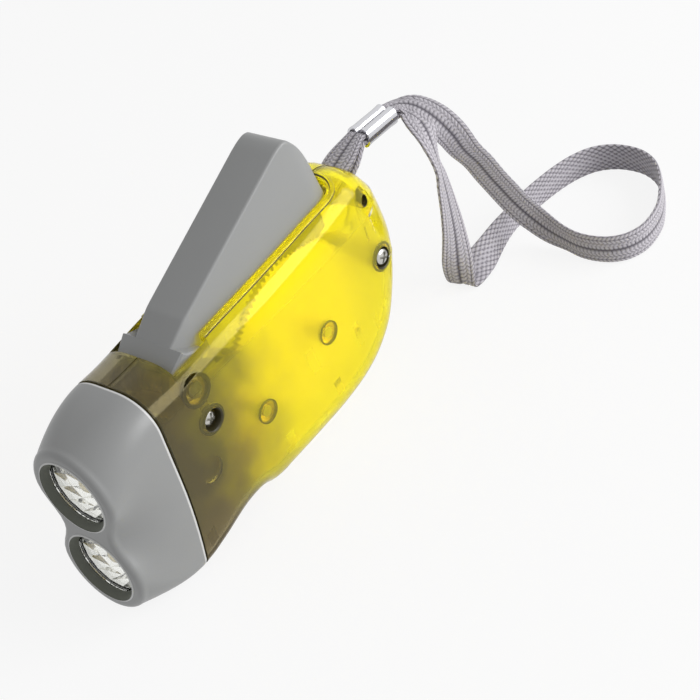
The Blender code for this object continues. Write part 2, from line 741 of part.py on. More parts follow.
def switch_cutter():
    return block("switch_slot",
                 (SWITCH_X - 0.5 * (SWITCH_KNOB_LENGTH + SWITCH_TRAVEL) - LOCK_SLOT_GAP, SWITCH_HIGH_Y,
                  SWITCH_Z - 0.5 * SWITCH_KNOB_HEIGHT - LOCK_SLOT_GAP),
                 (SWITCH_X + 0.5 * (SWITCH_KNOB_LENGTH + SWITCH_TRAVEL) + LOCK_SLOT_GAP,
                  SWITCH_KNOB_PROUD_Y + CUT_OVERRUN, SWITCH_Z + 0.5 * SWITCH_KNOB_HEIGHT + LOCK_SLOT_GAP))


def lock_rail(name, side):
    """A ledge beside the lock slot that the lock's plate slides on."""
    inner = LOCK_HALF_WIDTH + LOCK_SLOT_GAP
    low, high = sorted((side * inner, side * (inner + LOCK_RAIL_WIDTH)))
    top = LOCK_PLATE_LOW_Z - FIT_GAP
    return block(name, (LOCK_X - LOCK_TRAVEL, low, top - LOCK_RAIL_HEIGHT),
                 (LOCK_X + LOCK_LENGTH, high, top))


def keeper(name, side):
    """A post from the side wall that ends over the lock plate and keeps it down."""
    x = LOCK_X + 0.5 * LOCK_LENGTH
    z = LOCK_PLATE_LOW_Z + LOCK_PLATE_THICKNESS + FIT_GAP + LOCK_RAIL_WIDTH
    return boss(name, side, (x, z), LOCK_RAIL_WIDTH, side * (LOCK_PLATE_HALF_WIDTH - LOCK_RAIL_WIDTH))


def body_half(name, side):
    """A body half with its posts, rim, slots, and bores."""
    shell = body_shell(name, side)
    pivot, gear, rotor = (PIVOT_X, PIVOT_Z), gear_centre(), rotor_centre()
    front_screw, rear_screw = (FRONT_SCREW_X, FRONT_SCREW_Z), (REAR_SCREW_X, REAR_SCREW_Z)
    strap_pin, cells = (STRAP_PIN_X, STRAP_PIN_Z), (CELL_AXIS_X, CELL_AXIS_Z)
    near = side < 0
    gear_end = GEAR_LOW_Y - FIT_GAP if near else gear_far_y()
    rotor_end = ROTOR_PINION_LOW_Y - FIT_GAP if near else rotor_far_y()
    cell_end = -cup_half_length() - FIT_GAP if near else contact_outer_y() + FIT_GAP
    screw_radius = SCREW_BOSS_RADIUS if near else SCREW_REAR_BOSS_RADIUS
    fuse(shell, slot_rim("rim", side), slot_rear_rim("rear_rim", side),
         boss("pivot_boss", side, pivot, PIVOT_BOSS_RADIUS, side * PIVOT_BOSS_END),
         boss("gear_boss", side, gear, AXLE_BOSS_RADIUS, gear_end),
         boss("rotor_boss", side, rotor, AXLE_BOSS_RADIUS, rotor_end),
         boss("front_boss", side, front_screw, screw_radius, side * 0.5 * SPLIT_GAP),
         boss("rear_boss", side, rear_screw, screw_radius, side * 0.5 * SPLIT_GAP),
         boss("strap_boss", side, strap_pin, STRAP_BOSS_RADIUS, side * STRAP_BOSS_END),
         boss("cell_pad", side, cells, CELL_PAD_RADIUS, cell_end),
         lock_rail("rail", side),
         lip_root("lip_root", side), lip("lip", side))
    if not near:
        fuse(shell, keeper("keeper", side))
        for index, x in enumerate(core_post_places()):
            fuse(shell, boss(f"core_post_{index}", side, (x, core_post_z()), CORE_POST_RADIUS,
                             CORE_HIGH_Y + FIT_GAP))
        for index, x in enumerate((SWITCH_X - SWITCH_HALF_LENGTH, SWITCH_X + SWITCH_HALF_LENGTH)):
            fuse(shell, boss(f"switch_post_{index}", side, (x, SWITCH_Z), SWITCH_POST_RADIUS,
                             SWITCH_HIGH_Y + FIT_GAP))
    cut(shell, *slot_cutters(), window_cutter(), lock_cutter())
    axle = AXLE_RADIUS + FIT_GAP
    axle_stop = side * (AXLE_HALF_LENGTH + FIT_GAP)
    for centre, radius in ((pivot, PIVOT_PIN_RADIUS + FIT_GAP), (gear, axle), (rotor, axle)):
        cut(shell, bore("bore", centre, radius, *sorted((0.0, axle_stop))))
    if near:
        outside = -0.5 * BODY_WIDTH - CUT_OVERRUN
        cut(shell, bore("strap_bore", strap_pin, STRAP_PIN_RADIUS + FIT_GAP, outside, 0.0))
        for centre in (front_screw, rear_screw):
            cut(shell,
                bore("recess", centre, SCREW_RECESS_RADIUS, outside,
                     SCREW_HEAD_Y + SCREW_HEAD_HEIGHT + FIT_GAP),
                bore("shank_bore", centre, SCREW_SHANK_RADIUS + FIT_GAP, outside, CUT_OVERRUN))
    else:
        cut(shell, bore("strap_bore", strap_pin, STRAP_PIN_RADIUS + FIT_GAP, 0.0,
                        STRAP_PIN_FAR_Y + FIT_GAP), switch_cutter())
        for centre in (front_screw, rear_screw):
            cut(shell, bore("pilot", centre, SCREW_SHANK_RADIUS + FIT_GAP, 0.0, SCREW_END_Y + FIT_GAP))
    return shell


# Nose

def snout_section(inset):
    """Half of the nose's front section, two round snouts with a waist between them."""
    half_pitch = 0.5 * LENS_PITCH
    radius = SNOUT_RADIUS - inset
    waist = WAIST_HALF_WIDTH - inset
    points = []
    for step in range(EDGE_STEPS + 1):
        turn = 0.5 * math.pi * step / EDGE_STEPS
        points.append((radius * math.sin(turn), half_pitch + radius * math.cos(turn)))
    for step in range(1, FLAT_STEPS + 1):
        share = step / FLAT_STEPS
        pull = 0.5 - 0.5 * math.cos(math.pi * share)
        points.append((radius + (waist - radius) * pull, half_pitch * (1.0 - share)))
    points += [(y, -z) for y, z in reversed(points[:-1])]
    return np.array([(y, NOSE_MID_Z + z) for y, z in points])


def front_x(z):
    """The nose's front plane leans with the lenses."""
    return JOINT_X - NOSE_REACH + (z - NOSE_MID_Z) * math.tan(LENS_RAKE)


def whole_ring(half, x_of):
    """A ring of points (x, y, z) from half a section, mirrored across the middle."""
    ring = [(x_of(z), y, z) for y, z in half]
    return ring + [(x, -y, z) for x, y, z in reversed(ring[1:-1])]


def nose_ring(share, inset):
    """The nose's section at a share of the way from the joint to the front."""
    blend = max(share, 0.0) ** 2
    half = (1.0 - blend) * joint_section(inset) + blend * snout_section(inset)
    start = JOINT_X - 0.5 * JOINT_GAP
    return whole_ring(half, lambda z: (1.0 - share) * start + share * (front_x(z) + FRONT_ROUND))


def nose_cap(name):
    rings = [nose_ring(step / NOSE_STATIONS, 0.0) for step in range(NOSE_STATIONS + 1)]
    for step in range(1, ROUND_STEPS + 1):
        turn = 0.5 * math.pi * step / ROUND_STEPS
        half = snout_section(FRONT_ROUND * (1.0 - math.cos(turn)))
        reach = FRONT_ROUND * (1.0 - math.sin(turn))
        rings.append(whole_ring(half, lambda z, reach=reach: front_x(z) + reach))
    cap = loft(name, rings)
    stations = NOSE_STATIONS
    inner = [nose_ring((step - 1) / stations * NOSE_CAVITY_SHARE * stations / (stations - 1), WALL)
             for step in range(stations + 1)]
    cut(cap, loft("cavity", inner))
    slope = (MOUTH_RADIUS - SEAT_RADIUS) / RECESS_DEPTH
    seat_at = RECESS_DEPTH - FIT_GAP
    back = NOSE_REACH - LIP_REACH - BOARD_THICKNESS
    for place in lens_places():
        mouth = lathe("mouth", [(MOUTH_RADIUS + slope * CUT_OVERRUN, -CUT_OVERRUN),
                                (SEAT_RADIUS, RECESS_DEPTH), (SEAT_RADIUS, RECESS_DEPTH + LENS_THICKNESS)],
                      axis="X")
        pocket = lathe("pocket", [(LENS_RADIUS + FIT_GAP, seat_at), (LENS_RADIUS + FIT_GAP, back)], axis="X")
        for cutter in (mouth, pocket):
            seat(cutter, place, (0.0, LENS_RAKE, 0.0))
            cut(cap, cutter)
    return cap


def lens_places():
    """Centre of each recess's mouth on the front plane, the upper one first."""
    half = 0.5 * LENS_PITCH
    places = []
    for side in (1.0, -1.0):
        z = NOSE_MID_Z + side * half
        places.append((front_x(z), 0.0, z))
    return places


def reflector_front():
    return RECESS_DEPTH + LENS_THICKNESS + FIT_GAP


def reflector(name):
    """A bowl with an open throat, deeper than it is round, drawn from its mouth backwards."""
    steps = 4
    mouth = LENS_RADIUS - 2 * REFLECTOR_WALL
    inside, outside = [], []
    for step in range(steps + 1):
        share = step / steps
        radius = REFLECTOR_THROAT + (mouth - REFLECTOR_THROAT) * math.sqrt(1.0 - share)
        along = reflector_front() + share * REFLECTOR_DEPTH
        inside.append((radius, along))
        outside.append((radius + REFLECTOR_WALL, along))
    flange = LENS_RADIUS
    front = reflector_front()
    loop = inside + outside[::-1]
    loop[-1:] = [(mouth + REFLECTOR_WALL, front + REFLECTOR_WALL), (flange, front + REFLECTOR_WALL),
                 (flange, front)]
    return lathe(name, loop, 20, axis="X", ring=True)


def led(name):
    """A domed lamp with a flange and two legs, drawn from its tip backwards."""
    base = reflector_front() + REFLECTOR_DEPTH + FIT_GAP + LED_FLANGE
    tip = base - LED_LENGTH
    profile = []
    steps = 4
    for step in range(steps + 1):
        turn = 0.5 * math.pi * step / steps
        profile.append((LED_RADIUS * math.sin(turn), tip + LED_RADIUS * (1.0 - math.cos(turn))))
    flange = base - LED_FLANGE
    profile += [(LED_RADIUS, flange), (LED_FLANGE_RADIUS, flange), (LED_FLANGE_RADIUS, base)]
    lamp = lathe(name, profile, 14, axis="X")
    for side in (-1.0, 1.0):
        y = side * 0.5 * LED_LEG_SPREAD
        leg = block("leg", (base - 0.5 * LED_FLANGE, y - 0.5 * LED_LEG, -0.5 * LED_LEG),
                    (led_leg_end(), y + 0.5 * LED_LEG, 0.5 * LED_LEG))
        fuse(lamp, leg)
    return lamp


def led_leg_end():
    """Depth behind the mouth where the legs stop short of the board, clear of the rake."""
    lean = 0.5 * LENS_PITCH * math.tan(LENS_RAKE)
    return NOSE_REACH - LIP_REACH - FIT_GAP - BOARD_THICKNESS - FIT_GAP - lean


def lamp_board(name):
    rear = JOINT_X - LIP_REACH - FIT_GAP
    return block(name, (rear - BOARD_THICKNESS, -BOARD_HALF_WIDTH, BOARD_LOW_Z),
                 (rear, BOARD_HALF_WIDTH, BOARD_TOP_Z))


# Cells

def cup_half_length():
    return 0.5 * (CELL_COUNT * CELL_THICKNESS + (CELL_COUNT + 1) * FIT_GAP + CUP_WALL)


def contact_outer_y():
    return cup_half_length() + FIT_GAP + CONTACT_THICKNESS


def cell_holder(name):
    """A cup on its side, open towards the far half."""
    half = cup_half_length()
    inner = CELL_RADIUS + FIT_GAP
    outer = inner + CUP_WALL
    cup = lathe(name, [(outer, -half), (outer, half)])
    cut(cup, lathe("hollow", [(inner, -half + CUP_WALL), (inner, half + CUT_OVERRUN)]))
    return seat(cup, (CELL_AXIS_X, 0.0, CELL_AXIS_Z))


def button_cell(name, index):
    """A cell with a smaller raised cap towards the far half."""
    start = -cup_half_length() + CUP_WALL + FIT_GAP + index * (CELL_THICKNESS + FIT_GAP)
    end = start + CELL_THICKNESS
    cell = lathe(name, [(CELL_RADIUS, start), (CELL_RADIUS, end - CUP_WALL),
                        (CELL_RADIUS - CUP_WALL, end - CUP_WALL), (CELL_RADIUS - CUP_WALL, end)])
    return seat(cell, (CELL_AXIS_X, 0.0, CELL_AXIS_Z))


def cell_contact(name):
    start = cup_half_length() + FIT_GAP
    disc = lathe(name, [(CONTACT_RADIUS, start), (CONTACT_RADIUS, start + CONTACT_THICKNESS)])
    return seat(disc, (CELL_AXIS_X, 0.0, CELL_AXIS_Z))


# Gears

def involute(angle):
    return math.tan(angle) - angle


def flank(radius, pitch_radius, half):
    """Half angle of a tooth at a radius, from its half angle at the pitch line."""
    base = pitch_radius * math.cos(PRESSURE_ANGLE)
    at = math.acos(min(1.0, base / max(radius, base)))
    return half + involute(PRESSURE_ANGLE) - involute(at)


def gear_outline(module, teeth, centre, tooth_at):
    """Outline of a spur gear, with one tooth's middle at the angle tooth_at."""
    pitch = 0.5 * module * teeth
    tip = pitch + ADDENDUM_SHARE * module
    root = pitch - DEDENDUM_SHARE * module
    half = 0.5 * math.pi / teeth * (1.0 - BACKLASH_SHARE)
    radii = [root, pitch, tip]
    points = []
    for tooth in range(teeth):
        middle = tooth_at + math.tau * tooth / teeth
        for radius, side in [(r, -1) for r in radii] + [(r, 1) for r in reversed(radii)]:
            angle = middle + side * flank(radius, pitch, half)
            points.append((centre[0] + radius * math.cos(angle), centre[1] + radius * math.sin(angle)))
    return points


def sector_outline():
    """Toothed sector hung from the lever's roof. Its teeth point in, towards the hinge."""
    pitch = 0.5 * SECTOR_MODULE * SECTOR_TEETH
    tip = pitch - RING_ADDENDUM_SHARE * SECTOR_MODULE
    root = pitch + DEDENDUM_SHARE * SECTOR_MODULE
    half = 0.5 * math.pi / SECTOR_TEETH * (1.0 + BACKLASH_SHARE)
    step = math.tau / SECTOR_TEETH
    outer = pitch + SECTOR_RIM
    web = pitch - SECTOR_WEB

    def spot(radius, angle):
        return (PIVOT_X + radius * math.cos(angle), PIVOT_Z + radius * math.sin(angle))

    points = []
    start = TRAIN_ANGLE - step - SECTOR_TAIL
    points += [spot(outer, start), spot(tip, start + SECTOR_TAIL * 0.3)]
    for space in range(SECTOR_SPACES):
        middle = TRAIN_ANGLE + step * (space - 1)
        for radius, side in [(r, -1) for r in (tip, pitch, root)] + [(r, 1) for r in (root, pitch, tip)]:
            points.append(spot(radius, middle + side * flank(radius, pitch, half)))
    end = TRAIN_ANGLE + step * (SECTOR_SPACES - 1)
    points += [spot(tip, end), spot(tip, SECTOR_WEB_START), spot(web, SECTOR_WEB_START)]
    roof_share = (PIVOT_X + web - CREASE_X) / (CREST_X - CREASE_X)
    roof = CREASE_Z + roof_share * (CREST_Z - CREASE_Z) - 0.5 * LEVER_WALL
    points += [(PIVOT_X + web, roof), (CREST_X, CREST_Z - 0.7 * LEVER_WALL),
               (TIP_X - 0.5 * LEVER_WALL, TIP_Z - LEVER_WALL), (TAIL_X - 0.5 * LEVER_WALL, TAIL_Z)]
    steps = 6
    top = math.asin((TAIL_LOW_Z - PIVOT_Z) / outer)
    points += [spot(outer, top + (start - top) * index / steps) for index in range(steps)]
    return points


def lock_notch():
    """Slot in the sector's outer edge that the lock's finger enters while the lever is closed."""
    gap = LOCK_SLOT_GAP
    low, high = LOCK_FINGER_LOW_Z - gap, LOCK_FINGER_LOW_Z + LOCK_FINGER_THICKNESS + gap
    tip = LOCK_X - LOCK_FINGER_REACH - LOCK_TRAVEL - gap
    closed = [(tip, low), (tip, high), (LOCK_X, high), (LOCK_X, low)]
    return prism("notch", turned(closed, -LEVER_SWING, (PIVOT_X, PIVOT_Z)),
                 -SECTOR_HALF_THICKNESS - gap, SECTOR_HALF_THICKNESS + gap)


def ratchet_outline(centre):
    """Saw teeth that lean one way."""
    points = []
    for tooth in range(RATCHET_TEETH):
        angle = math.tau * tooth / RATCHET_TEETH
        points.append((centre[0] + RATCHET_RADIUS * math.cos(angle), centre[1] + RATCHET_RADIUS * math.sin(angle)))
        inner = RATCHET_RADIUS - RATCHET_DEPTH
        points.append((centre[0] + inner * math.cos(angle), centre[1] + inner * math.sin(angle)))
    return points


def drive_pinion(name):
    """Steep pinion under the sector, with the ratchet wheel that turns the large gear."""
    centre = gear_centre()
    tooth_at = TRAIN_ANGLE
    pinion = prism(name, gear_outline(SECTOR_MODULE, PINION_TEETH, centre, tooth_at),
                   -PINION_HALF_FACE, PINION_HALF_FACE)
    ratchet_low = GEAR_LOW_Y + GEAR_FACE - RATCHET_RECESS_DEPTH + FIT_GAP
    ratchet_high = -SECTOR_HALF_THICKNESS - FIT_GAP
    fuse(pinion, prism("ratchet", ratchet_outline(centre), ratchet_low, ratchet_high))
    cut(pinion, bore("axle_bore", centre, AXLE_RADIUS + FIT_GAP, GEAR_LOW_Y, PINION_HALF_FACE + CUT_OVERRUN))
    return pinion


def ratchet_gear(name):
    """Large thin gear with a round recess for the ratchet wheel and its pawls."""
    centre = gear_centre()
    tooth_at = ROTOR_ANGLE
    gear = prism(name, gear_outline(GEAR_MODULE, GEAR_TEETH, centre, tooth_at),
                 GEAR_LOW_Y, GEAR_LOW_Y + GEAR_FACE)
    high = GEAR_LOW_Y + GEAR_FACE
    cut(gear, bore("axle_bore", centre, AXLE_RADIUS + FIT_GAP, GEAR_LOW_Y - CUT_OVERRUN, high),
        cylinder("recess", RATCHET_RECESS_RADIUS, high - RATCHET_RECESS_DEPTH, high + CUT_OVERRUN, centre))
    return gear


def pawl(name, index):
    """A short curved finger in the gear's recess, just outside the saw teeth."""
    x, z = gear_centre()
    inner = RATCHET_RADIUS + FIT_GAP
    outer = inner + PAWL_WIDTH
    start = math.pi * index
    sweep = PAWL_LENGTH / inner
    steps = 4
    outline = [(x + r * math.cos(start + sweep * s / steps), z + r * math.sin(start + sweep * s / steps))
               for r, order in ((inner, range(steps + 1)), (outer, range(steps, -1, -1))) for s in order]
    low = GEAR_LOW_Y + GEAR_FACE - RATCHET_RECESS_DEPTH + FIT_GAP
    return prism(name, outline, low, GEAR_LOW_Y + GEAR_FACE)


def rotor(name):
    """Small pinion and hub in one moulding, which carries the flywheel and the magnet."""
    centre = rotor_centre()
    facing = ROTOR_ANGLE + math.pi
    tooth_at = facing + math.pi / ROTOR_PINION_TEETH
    low = ROTOR_PINION_LOW_Y
    pinion = prism(name, gear_outline(GEAR_MODULE, ROTOR_PINION_TEETH, centre, tooth_at),
                   low, low + ROTOR_PINION_FACE)
    end = MAGNET_LOW_Y + MAGNET_THICKNESS
    fuse(pinion, cylinder("hub", ROTOR_HUB_RADIUS, low + 0.5 * ROTOR_PINION_FACE, end, centre))
    cut(pinion, bore("axle_bore", centre, AXLE_RADIUS + FIT_GAP, low - CUT_OVERRUN, end + CUT_OVERRUN))
    return pinion


def rotor_ring(name, radius, low, thickness):
    return tube(name, radius, ROTOR_HUB_RADIUS + FIT_GAP, low, low + thickness, rotor_centre())


# Stator

def shoe_radii():
    inner = MAGNET_RADIUS + AIR_GAP
    return inner, inner + SHOE_THICKNESS


def core_post_places():
    x = rotor_centre()[0]
    outer = shoe_radii()[1]
    return (x - outer + 0.5 * CORE_ARM, x + outer - 0.5 * CORE_ARM)


def core_post_z():
    return YOKE_HIGH_Z + 0.5 * CORE_ARM


def stator_core(name):
    """C-shaped iron: two pole shoes beside the magnet, arms, and the yoke that the coil sits on."""
    x, z = rotor_centre()
    inner, outer = shoe_radii()
    steps = 5

    def arc(radius, first, last):
        return [(x + radius * math.cos(first + (last - first) * s / steps),
                 z + radius * math.sin(first + (last - first) * s / steps)) for s in range(steps + 1)]

    def mirrored(points):
        return [(2 * x - px, pz) for px, pz in reversed(points)]

    arm = outer - CORE_ARM
    lowest_shoe = z + outer * math.sin(SHOE_LOW)
    right_out = [(x + outer, YOKE_LOW_Z)] + arc(outer, 0.0, SHOE_TOP)
    right_in = arc(inner, SHOE_TOP, SHOE_LOW)
    right_in += [(x + outer * math.cos(SHOE_LOW), lowest_shoe), (x + arm, lowest_shoe), (x + arm, YOKE_HIGH_Z)]
    outline = right_out + right_in + mirrored(right_in) + mirrored(right_out)
    return prism(name, outline, CORE_LOW_Y, CORE_HIGH_Y)


def sleeve_outline(low, high, grow):
    return [(low[0] - grow, low[1] - grow), (high[0] + grow, low[1] - grow),
            (high[0] + grow, high[1] + grow), (low[0] - grow, high[1] + grow)]


def coil_span():
    """The coil former's two ends, against the core's arm on the far side of the magnet."""
    end = rotor_centre()[0] + shoe_radii()[1] - CORE_ARM - FIT_GAP
    return end - BOBBIN_LENGTH, end


def coil_section(x, grow):
    """A ring of points round the yoke at one station, grown evenly past it."""
    return [(x, y, z) for y, z in sleeve_outline((CORE_LOW_Y, YOKE_LOW_Z), (CORE_HIGH_Y, YOKE_HIGH_Z), grow)]


def box_ring(name, stations, hole_grow):
    """A square sleeve round the yoke, through stations of (x, grow)."""
    outer = loft(name, [coil_section(x, grow) for x, grow in stations])
    low, high = stations[0][0] - CUT_OVERRUN, stations[-1][0] + CUT_OVERRUN
    return cut(outer, loft("hole", [coil_section(low, hole_grow), coil_section(high, hole_grow)]))


def coil_bobbin(name):
    start, end = coil_span()
    hub = FIT_GAP + BOBBIN_WALL
    rim = hub + FIT_GAP + WINDING_DEPTH
    low, high = start + BOBBIN_FLANGE, end - BOBBIN_FLANGE
    stations = [(start, rim), (low, rim), (low, hub), (high, hub), (high, rim), (end, rim)]
    return box_ring(name, stations, FIT_GAP)


def coil_winding(name):
    start, end = coil_span()
    hub = 2 * FIT_GAP + BOBBIN_WALL
    gap = BOBBIN_FLANGE + FIT_GAP
    return box_ring(name, [(start + gap, hub + WINDING_DEPTH), (end - gap, hub + WINDING_DEPTH)], hub)


# Lever

def lever_top(x):
    """Height of the lever's outer face."""
    points = [(FOOT_FRONT_X, FOOT_TOP_Z), (CREASE_X, CREASE_Z), (CREST_X, CREST_Z)]
    return float(np.interp(x, *zip(*points)))


def foot_solid(name):
    """Front of the lever, a low shoe whose sides flare out over the body's slot."""
    rear = FOOT_FRONT_X + FOOT_LENGTH
    ridge_x = PIVOT_X + 0.5 * (FOOT_LENGTH - (PIVOT_X - FOOT_FRONT_X)) * 0.5
    ridge_z = lever_top(ridge_x)
    low = FOOT_LOW_Z
    front_half = [(FOOT_FRONT_HALF_WIDTH, low), (FOOT_FRONT_HALF_WIDTH, 0.5 * (low + FOOT_TOP_Z)),
                  (FOOT_FRONT_HALF_WIDTH - 0.5 * CREST_ROUND, FOOT_TOP_Z)]
    ridge_half = [(0.5 * (FOOT_HALF_WIDTH + FOOT_RIDGE_HALF_WIDTH), low),
                  (FOOT_RIDGE_HALF_WIDTH, ridge_z - CREST_ROUND),
                  (FOOT_RIDGE_HALF_WIDTH - CREST_ROUND, ridge_z)]
    rear_half = [(FOOT_HALF_WIDTH, low), (FOOT_RIDGE_HALF_WIDTH, ridge_z - CREST_ROUND),
                 (CREST_HALF_WIDTH, lever_top(rear) - CREST_ROUND)]
    rings = []
    for x, half in ((FOOT_FRONT_X, front_half), (ridge_x, ridge_half), (rear, rear_half)):
        rings.append([(x, y, z) for y, z in half] + [(x, -y, z) for y, z in reversed(half)])
    return loft(name, rings)


def arm_outline():
    """Side outline of the lever's long arm, with a rounded tip."""
    tip = smooth_line([(CREST_X, CREST_Z), (0.5 * (CREST_X + TIP_X), CREST_Z + CREST_ROUND), (TIP_X, TIP_Z)], 5)
    start = PIVOT_X + CHEEK_RADIUS
    return [(start, lever_top(start)), (CREASE_X, CREASE_Z)] + [tuple(p) for p in tip] + [
        (TAIL_X, TAIL_Z), (TAIL_X, TAIL_LOW_Z), (start, FOOT_LOW_Z + 0.5 * CREST_ROUND)]


def arm_half_width(x, z):
    """The sides lean in from the slot to the outer face."""
    start = PIVOT_X + CHEEK_RADIUS
    low = FOOT_LOW_Z + (TAIL_LOW_Z - FOOT_LOW_Z) * (x - start) / (TAIL_X - start)
    share = (z - low) / (lever_top(x) - low)
    return LEVER_HALF_WIDTH + (CREST_HALF_WIDTH - LEVER_HALF_WIDTH) * min(1.0, max(0.0, share))


def side_walled(name, outline, inset):
    """An outline in X and Z with leaning sides."""
    count = len(outline)
    half = [arm_half_width(x, z) - inset for x, z in outline]
    left = [(x, -wide, z) for (x, z), wide in zip(outline, half)]
    right = [(x, wide, z) for (x, z), wide in zip(outline, half)]
    return mesh_object(name, left + right, [tuple(range(count)), tuple(range(2 * count - 1, count - 1, -1))]
                       + [(step, (step + 1) % count, (step + 1) % count + count, step + count)
                          for step in range(count)])


def lever_hollow():
    wall = LEVER_WALL
    run = math.hypot(CREST_X - CREASE_X, CREST_Z - CREASE_Z)
    drop = wall * run / (CREST_X - CREASE_X)
    start = FOOT_FRONT_X + wall
    outline = [(start, lever_top(start) - 1.5 * drop), (CREASE_X, CREASE_Z - drop),
               (CREST_X, CREST_Z - drop), (TIP_X - wall, TIP_Z - 1.5 * drop), (TAIL_X - wall, TAIL_Z),
               (TAIL_X - wall, FOOT_LOW_Z - CUT_OVERRUN), (start, FOOT_LOW_Z - CUT_OVERRUN)]
    return side_walled("hollow", outline, wall)


def cheek(name, side):
    """Eye plate that the hinge pin runs through."""
    arc = [(PIVOT_X + CHEEK_RADIUS * math.cos(math.pi + math.pi * s / 10),
            PIVOT_Z + CHEEK_RADIUS * math.sin(math.pi + math.pi * s / 10)) for s in range(11)]
    outline = arc + [(PIVOT_X + CHEEK_RADIUS, lever_top(PIVOT_X) - CREST_ROUND),
                     (PIVOT_X - 0.4 * CHEEK_RADIUS, lever_top(PIVOT_X - 0.4 * CHEEK_RADIUS) - CREST_ROUND),
                     (PIVOT_X - CHEEK_RADIUS * 0.5, FOOT_LOW_Z)]
    low, high = sorted((side * CHEEK_INNER, side * (LEVER_HALF_WIDTH - 0.2 * LEVER_WALL)))
    return prism(name, outline, low, high)


def gear_notch():
    """Opening in the lever's rear wall, so that it passes the large gear as it closes."""
    low = GEAR_LOW_Y - FIT_GAP
    high = GEAR_LOW_Y + GEAR_FACE + FIT_GAP
    return block("gear_notch", (TAIL_X - 2 * LEVER_WALL, low, TAIL_LOW_Z - CUT_OVERRUN),
                 (TAIL_X + CUT_OVERRUN, high, TAIL_Z + CUT_OVERRUN))


def lever(name):
    """Hand lever: foot, long hollow arm, eye plates and toothed sector in one moulding."""
    form = side_walled(name, arm_outline(), 0.0)
    fuse(form, foot_solid("foot"))
    cut(form, lever_hollow(), gear_notch())
    for side in (-1.0, 1.0):
        fuse(form, cheek("cheek", side))
    fuse(form, prism("sector", sector_outline(), -SECTOR_HALF_THICKNESS, SECTOR_HALF_THICKNESS))
    cut(form, lock_notch(),
        bore("pivot_bore", (PIVOT_X, PIVOT_Z), PIVOT_PIN_RADIUS + FIT_GAP, -BODY_WIDTH, BODY_WIDTH))
    return form


def tube_along(name, path, radius, sides=5):
    """A round wire along a path, with flat ends."""
    path = np.array(path)
    ahead = np.gradient(path, axis=0)
    ahead /= np.linalg.norm(ahead, axis=1)[:, None]
    across = np.cross(ahead[0], (0.0, 1.0, 0.0))
    rings = []
    for point, way in zip(path, ahead):
        across = across - way * np.dot(across, way)
        across /= np.linalg.norm(across)
        up = np.cross(way, across)
        rings.append([point + radius * (math.cos(math.tau * s / sides) * across
                                        + math.sin(math.tau * s / sides) * up) for s in range(sides)])
    return loft(name, rings)


def return_spring(name):
    """Wound round the hinge pin, one leg under the lever's roof and one on the front post."""
    steps = 10
    count = int(SPRING_TURNS * steps)
    path = []
    first = math.radians(90)
    for step in range(count + 1):
        turn = first + math.tau * step / steps
        y = -0.5 * SPRING_LENGTH + SPRING_LENGTH * step / count
        path.append((PIVOT_X + SPRING_RADIUS * math.cos(turn), y, PIVOT_Z + SPRING_RADIUS * math.sin(turn)))
    roof_leg = (path[0][0] + SPRING_LEG, path[0][1], path[0][2])
    post_leg = (path[-1][0] + SPRING_LEG, path[-1][1], path[-1][2])
    places = np.array(path)
    gaps = [np.linalg.norm(places[step + steps // 2:] - places[step], axis=1).min() - SPRING_WIRE
            for step in range(count - steps // 2)]
    print("return spring: least gap to itself", round(min(gaps) * 1000, 2), "mm")
    return tube_along(name, [roof_leg] + path + [post_leg], 0.5 * SPRING_WIRE)


# Small fittings

def screw(name, centre):
    """Pan-head screw with a cross slot, its head in the recess."""
    head_end = SCREW_HEAD_Y + SCREW_HEAD_HEIGHT
    form = lathe(name, [(0.7 * SCREW_HEAD_RADIUS, SCREW_HEAD_Y), (SCREW_HEAD_RADIUS, SCREW_HEAD_Y
                        + 0.4 * SCREW_HEAD_HEIGHT), (SCREW_HEAD_RADIUS, head_end),
                        (SCREW_SHANK_RADIUS, head_end), (SCREW_SHANK_RADIUS, SCREW_END_Y - SCREW_SHANK_RADIUS),
                        (0.3 * SCREW_SHANK_RADIUS, SCREW_END_Y)], 16)
    long, half = 0.7 * SCREW_HEAD_RADIUS, 0.5 * SCREW_SLOT_WIDTH
    low, high = SCREW_HEAD_Y - CUT_OVERRUN, SCREW_HEAD_Y + SCREW_SLOT_DEPTH
    cut(form, block("slot_a", (-long, low, -half), (long, high, half)),
        block("slot_b", (-half, low, -long), (half, high, long)))
    return seat(form, (centre[0], 0.0, centre[1]))


def pin(name, radius, start, end, centre, steps=16):
    return seat(cylinder(name, radius, start, end, steps=steps), (centre[0], 0.0, centre[1]))


